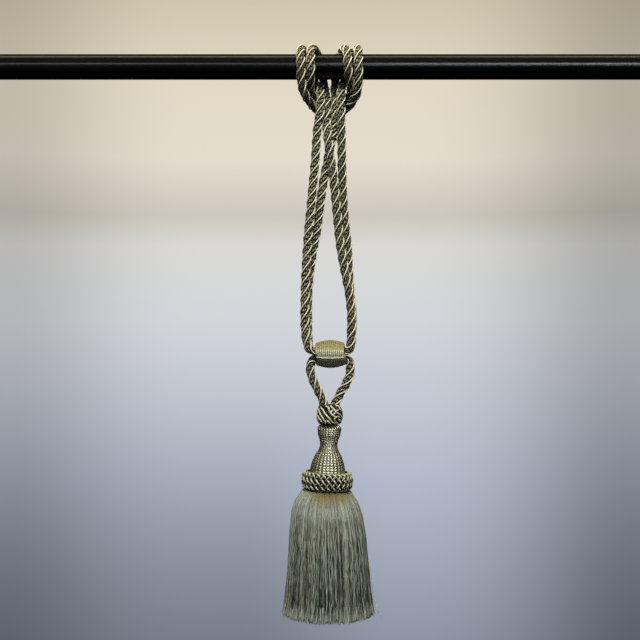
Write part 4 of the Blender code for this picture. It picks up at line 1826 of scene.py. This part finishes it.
        taper[:, -2:] *= self.tip_taper
        tone = self.lock_tone * chance.uniform(0, 1, self.locks)[nearest]
        own = smooth_step(chance.uniform(0, 1, count), *self.own_tone)
        out = np.stack([np.sin(angle), -np.cos(angle), 0 * angle], axis=-1)
        light = self._light(depth, share)
        strands = StrandMesh(tier.name, 4)
        strands.add(points, taper, tone + (1 - self.lock_tone) * own, 1.0, out,
                    opening(points, out, self.lit, light, self.gap_light))
        return strands

    def _sway(self, tier: YarnTier, share: Array, chance: np.random.Generator) -> Array:
        """Work out how far the yarns sway to the side.

        Args:
            tier: The yarns' tier.
            share: How far along its yarn each point lies, 0 to 1.
            chance: Source of the irregularities.

        Returns:
            The distance at each point.
        """
        sway = np.zeros_like(share)
        calm = smooth_step(share, *self.calm)
        for wave in tier.waves:
            size = chance.normal(0, tier.sway, tier.count)[:, None] / wave ** 0.5
            start = chance.uniform(0, TAU, tier.count)[:, None]
            sway = sway + size * np.sin(TAU * wave * share + start) * calm
        return sway

    def _light(self, depth: Array, share: Array) -> Array:
        """Return how much light reaches points, by their depth and place along the yarn."""
        shaded = smooth_step(depth, *self.hidden) * smooth_step(share, *self.dark_from)
        return 1 - self.dark * (shaded * (1 - 0.5 * smooth_step(share, *self.lit_from)))

    def _stray(self) -> StrandMesh:
        """Let threads hang loose from the right side.

        Returns:
            The threads.
        """
        share = np.linspace(0, 1, self.stray_points)
        x, y, z = self.stray_root
        paths = [np.stack([(x + side * share ** self.stray_curve) * MM,
                           (y + ahead * share) * MM, (z + fall * share) * MM], axis=-1)
                 for side, ahead, fall in self.strays]
        strands = StrandMesh("skirt_stray", 4)
        strands.add(np.array(paths), self.stray_radius, self.stray_tone)
        return strands

    def _underside(self, chance: np.random.Generator) -> StrandMesh:
        """Fill the underside with yarn ends.

        Args:
            chance: Source of their irregularities.

        Returns:
            The ends.
        """
        count = self.ends
        reach = self.ends_reach * np.sqrt(chance.uniform(0, 1, count))[:, None]
        angle = chance.uniform(0, TAU, count)[:, None]
        share = np.linspace(0, 1, 4)[None]
        foot = self.ends_foot + self.ends_dome * (1 - reach / self.ends_reach) ** 0.7
        foot = foot + chance.normal(0, self.ends_ragged, count)[:, None] * MM
        height = self.ends_top + (foot - self.ends_top) * share
        spread = reach * (1 + self.ends_spread * share)
        x = spread * np.sin(angle) + chance.normal(0, self.ends_lean, (count, 1)) * MM * share
        y = -spread * np.cos(angle) + chance.normal(0, self.ends_lean, (count, 1)) * MM * share
        points = np.stack([x + self.ends_shift, y, height], axis=-1)
        strands = StrandMesh("skirt_ends", 4)
        strands.add(points, self.ends_radius, chance.uniform(0, 1, count))
        return strands

    def _core(self, material: Material) -> Object:
        """Model the yarns' inner mass as a turned body, dressed in the cores' painted shade.

        Args:
            material: The core's material.

        Returns:
            The piece.
        """
        heights = np.array(SKIRT_CORE_HEIGHTS) * MM
        radii, _ = self._section(heights)
        rings = [(float(radius) - self.core_inset, float(height))
                 for radius, height in zip(radii, heights)]
        close, foot = self.core_close
        rings.append((rings[-1][0] * close, foot))
        piece = turned_core("skirt_core", rings, 64, material)
        for vertex in piece.data.vertices:
            _, shift = self._section(np.array(vertex.co.z))
            vertex.co.x += float(shift) + TASSEL_X
        return piece


class Effect(Enum):
    """What a lamp gives: whether it lights surfaces and whether it shows in their gloss."""

    BOTH = (True, True)
    LIGHT = (True, False)
    GLOSS = (False, True)


@dataclass(frozen=True)
class Lamp:
    """One soft rectangular light."""

    name: str
    place: tuple
    width: float
    height: float
    watts: float
    colour: tuple
    effect: Effect = Effect.BOTH

    def build(self, aim: Vector) -> None:
        """Add the light.

        Args:
            aim: What it points at.
        """
        data = bpy.data.lights.new(self.name, "AREA")
        data.shape = "RECTANGLE"
        data.size, data.size_y = self.width, self.height
        data.energy = self.watts
        data.color = self.colour
        lamp = bpy.data.objects.new(self.name, data)
        lamp.location = self.place
        lamp.rotation_euler = (aim - Vector(self.place)).to_track_quat("-Z", "Y").to_euler()
        lamp.visible_camera = False
        lamp.visible_diffuse, lamp.visible_glossy = self.effect.value
        bpy.context.scene.collection.objects.link(lamp)


@dataclass(frozen=True)
class Backdrop:
    """A pale wall to look at and a dim room to be lit by.

    The wall is cream above and bluish grey below, and it darkens to the sides;
    its shades go by the direction that is looked in. They are painted light and
    shade: a gradient of window light, a shadow band and darkening to the sides.
    """

    stops: tuple = (
        (0.00, linear(142, 149, 164)),
        (0.25, linear(180, 187, 202)),
        (0.50, linear(211, 214, 219)),
        (0.62, linear(218, 217, 214)),
        # a painted shadow band across the wall
        (0.67, linear(206, 200, 189)),
        (0.76, linear(228, 221, 207)),
        (0.87, linear(226, 218, 198)),
        (1.00, linear(209, 199, 175)),
    )
    span: float = 0.55              # sine of the elevations that its shades span
    right: tuple = (0.04, 0.27)     # how far aside it starts to darken, and ends
    left: tuple = (0.07, 0.27)
    right_dark: float = 0.40        # how much painted shade darkens it
    left_dark: float = 0.30
    right_low: float = 0.22         # how much more at its foot
    left_low: float = 0.30
    middle: tuple = (-0.07, 0.07)   # where the left foot's shade sets in
    room: tuple = (1.0, 0.97, 0.9, 1.0)     # colour of the light from all round
    # How strong it is: the heights where it rises, by how much, and its least
    ambient: tuple = ((-0.3, 0.5), 0.034, 0.006)
    # The same for what the gloss sees, which rises twice
    glow: tuple = ((0.0, 0.6), 0.022, (0.8, 0.98), 0.06, 0.003)

    def build(self) -> None:
        """Make the world's shader."""
        graph = Graph("studio", world=True)
        look = graph.node("ShaderNodeTexCoord", output="Generated")
        aside, height = graph.axis(look, 0), graph.axis(look, 2)
        rise, gain, least = self.ambient
        ambient = height.band(*rise) * gain + least
        rise, gain, crown, more, least = self.glow
        glow = height.band(*rise) * gain + height.band(*crown) * more + least
        lit = graph.node("ShaderNodeBackground", None, {0: self.room, 1: ambient})
        white = linear(255, 255, 255)
        mirrored = graph.node("ShaderNodeBackground", None, {0: white, 1: glow})
        seen = graph.node(
            "ShaderNodeBackground", None, {0: self._wall(graph, aside, height)})
        shiny = graph.node("ShaderNodeLightPath", output="Is Glossy Ray")
        lit = graph.node("ShaderNodeMixShader", None, {0: shiny, 1: lit, 2: mirrored})
        straight = graph.node("ShaderNodeLightPath", output="Is Camera Ray")
        mixed = graph.node("ShaderNodeMixShader", None, {0: straight, 1: lit, 2: seen})
        graph.feed(graph.shader.inputs[0], mixed)

    def _wall(self, graph: Graph, aside: Sock, height: Sock) -> Sock:
        """Colour the wall.

        Args:
            graph: The world's nodes.
            aside: How far to the right is looked.
            height: How far up.

        Returns:
            The colour.
        """
        wall = graph.node("ShaderNodeValToRGB", {"stops": self.stops},
                          {0: height / self.span + 0.5})
        low = (0 - height / self.span).band(0.0, 0.5)
        right = aside.band(*self.right) ** 2 * (low * self.right_low + self.right_dark)
        left = (0 - aside).band(*self.left) ** 2 * self.left_dark
        left = left + (0 - aside).band(*self.middle) * low * self.left_low
        return graph.scaled(wall, 1.0 - right - left)


@dataclass
class Studio:
    """Camera, lights, floor and backdrop."""

    eye: Vector
    lamps: tuple = (
        Lamp("key", (-0.12, -2.1, 3.0), 1.6, 1.0, 170.0, (1.0, 0.97, 0.90), Effect.LIGHT),
        Lamp("front", (0.60, -1.95, 0.50), 1.15, 0.30, 37.0, (0.88, 0.95, 1.0), Effect.GLOSS),
        Lamp("front_left", (-0.56, -1.95, 0.56), 0.9, 0.30, 7.0, (0.88, 0.95, 1.0),
             Effect.GLOSS),
        Lamp("above", (0.0, 0.08, 1.3), 2.6, 0.30, 14.0, (1.0, 0.84, 0.58)),
        Lamp("left", (-1.3, -1.6, 0.30), 0.9, 0.30, 2.0, (1.0, 0.97, 0.92)),
    )
    aim: tuple = (0.0, 0.0, -0.30)  # what the lamps point at
    sensor: float = 36.0            # width of the camera's sensor, in millimetres
    sight: float = 50.0             # how far it sees
    frame_half: float = 320.0       # half the frame's width, in pixels
    focal: float = 1110.0           # focal length, in pixels
    floor_height: float = -1.15
    floor_radius: float = 1.9

    def build(self) -> None:
        """Set up the studio."""
        self._camera()
        for lamp in self.lamps:
            lamp.build(Vector(self.aim))
        Backdrop().build()
        self._floor()
        scene = bpy.context.scene
        scene.view_settings.view_transform = "Standard"
        scene.view_settings.look = "None"

    def _camera(self) -> None:
        """Place the camera level, looking along +Y."""
        data = bpy.data.cameras.new("camera")
        data.sensor_width = self.sensor
        data.lens = self.sensor / 2 * self.focal / self.frame_half
        data.clip_end = self.sight
        camera = bpy.data.objects.new("camera", data)
        camera.location = self.eye
        camera.rotation_euler = (math.pi / 2, 0, 0)
        bpy.context.scene.collection.objects.link(camera)
        bpy.context.scene.camera = camera

    def _floor(self) -> None:
        """Lay a plain pale floor well below the tassel."""
        deselect_all()
        bpy.ops.mesh.primitive_circle_add(
            vertices=96, radius=self.floor_radius, fill_type="NGON",
            location=(0, 0, self.floor_height))
        floor = bpy.context.object
        floor.name = "floor"
        finish = PlainFinish("floor_pale", linear(215, 216, 220), linear(206, 208, 212), 6.0)
        floor.data.materials.append(finish.material())
        floor.visible_glossy = False
        floor.visible_diffuse = False
        deselect_all()


def corners(box: tuple[Vector, Vector]) -> list[list[float]]:
    """Turn a box's two corners into plain lists of numbers."""
    return [[round(value, 5) for value in corner] for corner in box]


def main() -> None:
    """Build every sub-assembly in order and report each piece."""
    logging.basicConfig(level=logging.INFO, format="%(message)s")
    yarn = TwistFinish("rope_mottle", KHAKI, OLIVE_BLACK, turn=4.4, strands=1, lay=Lay.S,
                       balance=0.05, edge=0.35, relief=0.3 * MM, gloss=0.35).material()
    gimp = TwistFinish("pale_gimp", PALE_GIMP, PALE_GIMP_SHADE, turn=2.2, balance=0.6,
                       relief=0.08 * MM, roughness=0.42, index=1.4).material()
    thread = TwistFinish("straw_thread", STRAW, STRAW_SHADE, turn=3.0, balance=0.7, edge=1.5,
                         uneven=0.15, relief=0.01 * MM, roughness=0.52, index=2.1, grain=0.06,
                         dull=0.1, tint=(0.93, 1.0, 0.90, 1.0)).material()
    cord = TwistFinish("pale_cord", PALE_CORD, PALE_CORD_SHADE, turn=3.0, balance=0.5,
                       relief=0.1 * MM, index=1.7).material()
    dark_cord = TwistFinish("dark_cord", DARK_CORD, BROWN_BLACK, turn=4.0, relief=0.1 * MM,
                            gloss=0.4, deep=0.05).material()
    ruff_cord = TwistFinish("ruff_cord", RUFF_CORD, RUFF_CORD_SHADE, turn=3.0, balance=0.5,
                            relief=0.1 * MM, index=1.7).material()
    ruff_dark = TwistFinish("ruff_dark", RUFF_DARK, BROWN_BLACK, turn=4.0, relief=0.1 * MM,
                            gloss=0.2, deep=0.02).material()
    bead = TwistFinish("mould_thread", BEAD, BEAD_SHADE, turn=5.0, strands=3, balance=0.5,
                       relief=0.04 * MM, roughness=0.37, index=2.8,
                       tint=(1.0, 0.97, 0.70, 1.0), uneven=0.5).material()
    skirt = YarnFinish("skirt_sage", SAGE_PALE, SAGE_DEEP, PAINTED_UNDER_RUFF_GOLD).material()
    # The cores' dark brown is painted shade
    core = PlainFinish("core_painted_shade", CORE_SHADOW_BROWN, CORE_SHADE, 900.0).material()
    low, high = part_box("slide")
    groups = [
        Rod().build(),
        Rope("rope_loop_yarn", "rope_loop", loop_route(), step=1.5 * MM, sides=5).build(
            yarn, gimp),
        Rope("rope_sling_yarn", "rope_sling", in_metres(SLING_ROUTE), step=1.0 * MM,
             sides=6).build(yarn, gimp),
        Slide((low + high) / 2, high.x - low.x).build(thread, cord, core),
        TopKnot().build(cord, dark_cord, core),
        Mould().build(bead, core),
        Ruff().build((ruff_cord, ruff_dark), core),
        Skirt().build(skirt, core),
    ]
    Studio(eye=Vector((-0.009, -1.110, -0.253))).build()
    for group in groups:
        for piece in group:
            LOG.info("%s: %d faces", piece.name, len(piece.data.polygons))


if __name__ == "__main__":
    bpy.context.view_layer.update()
    main()
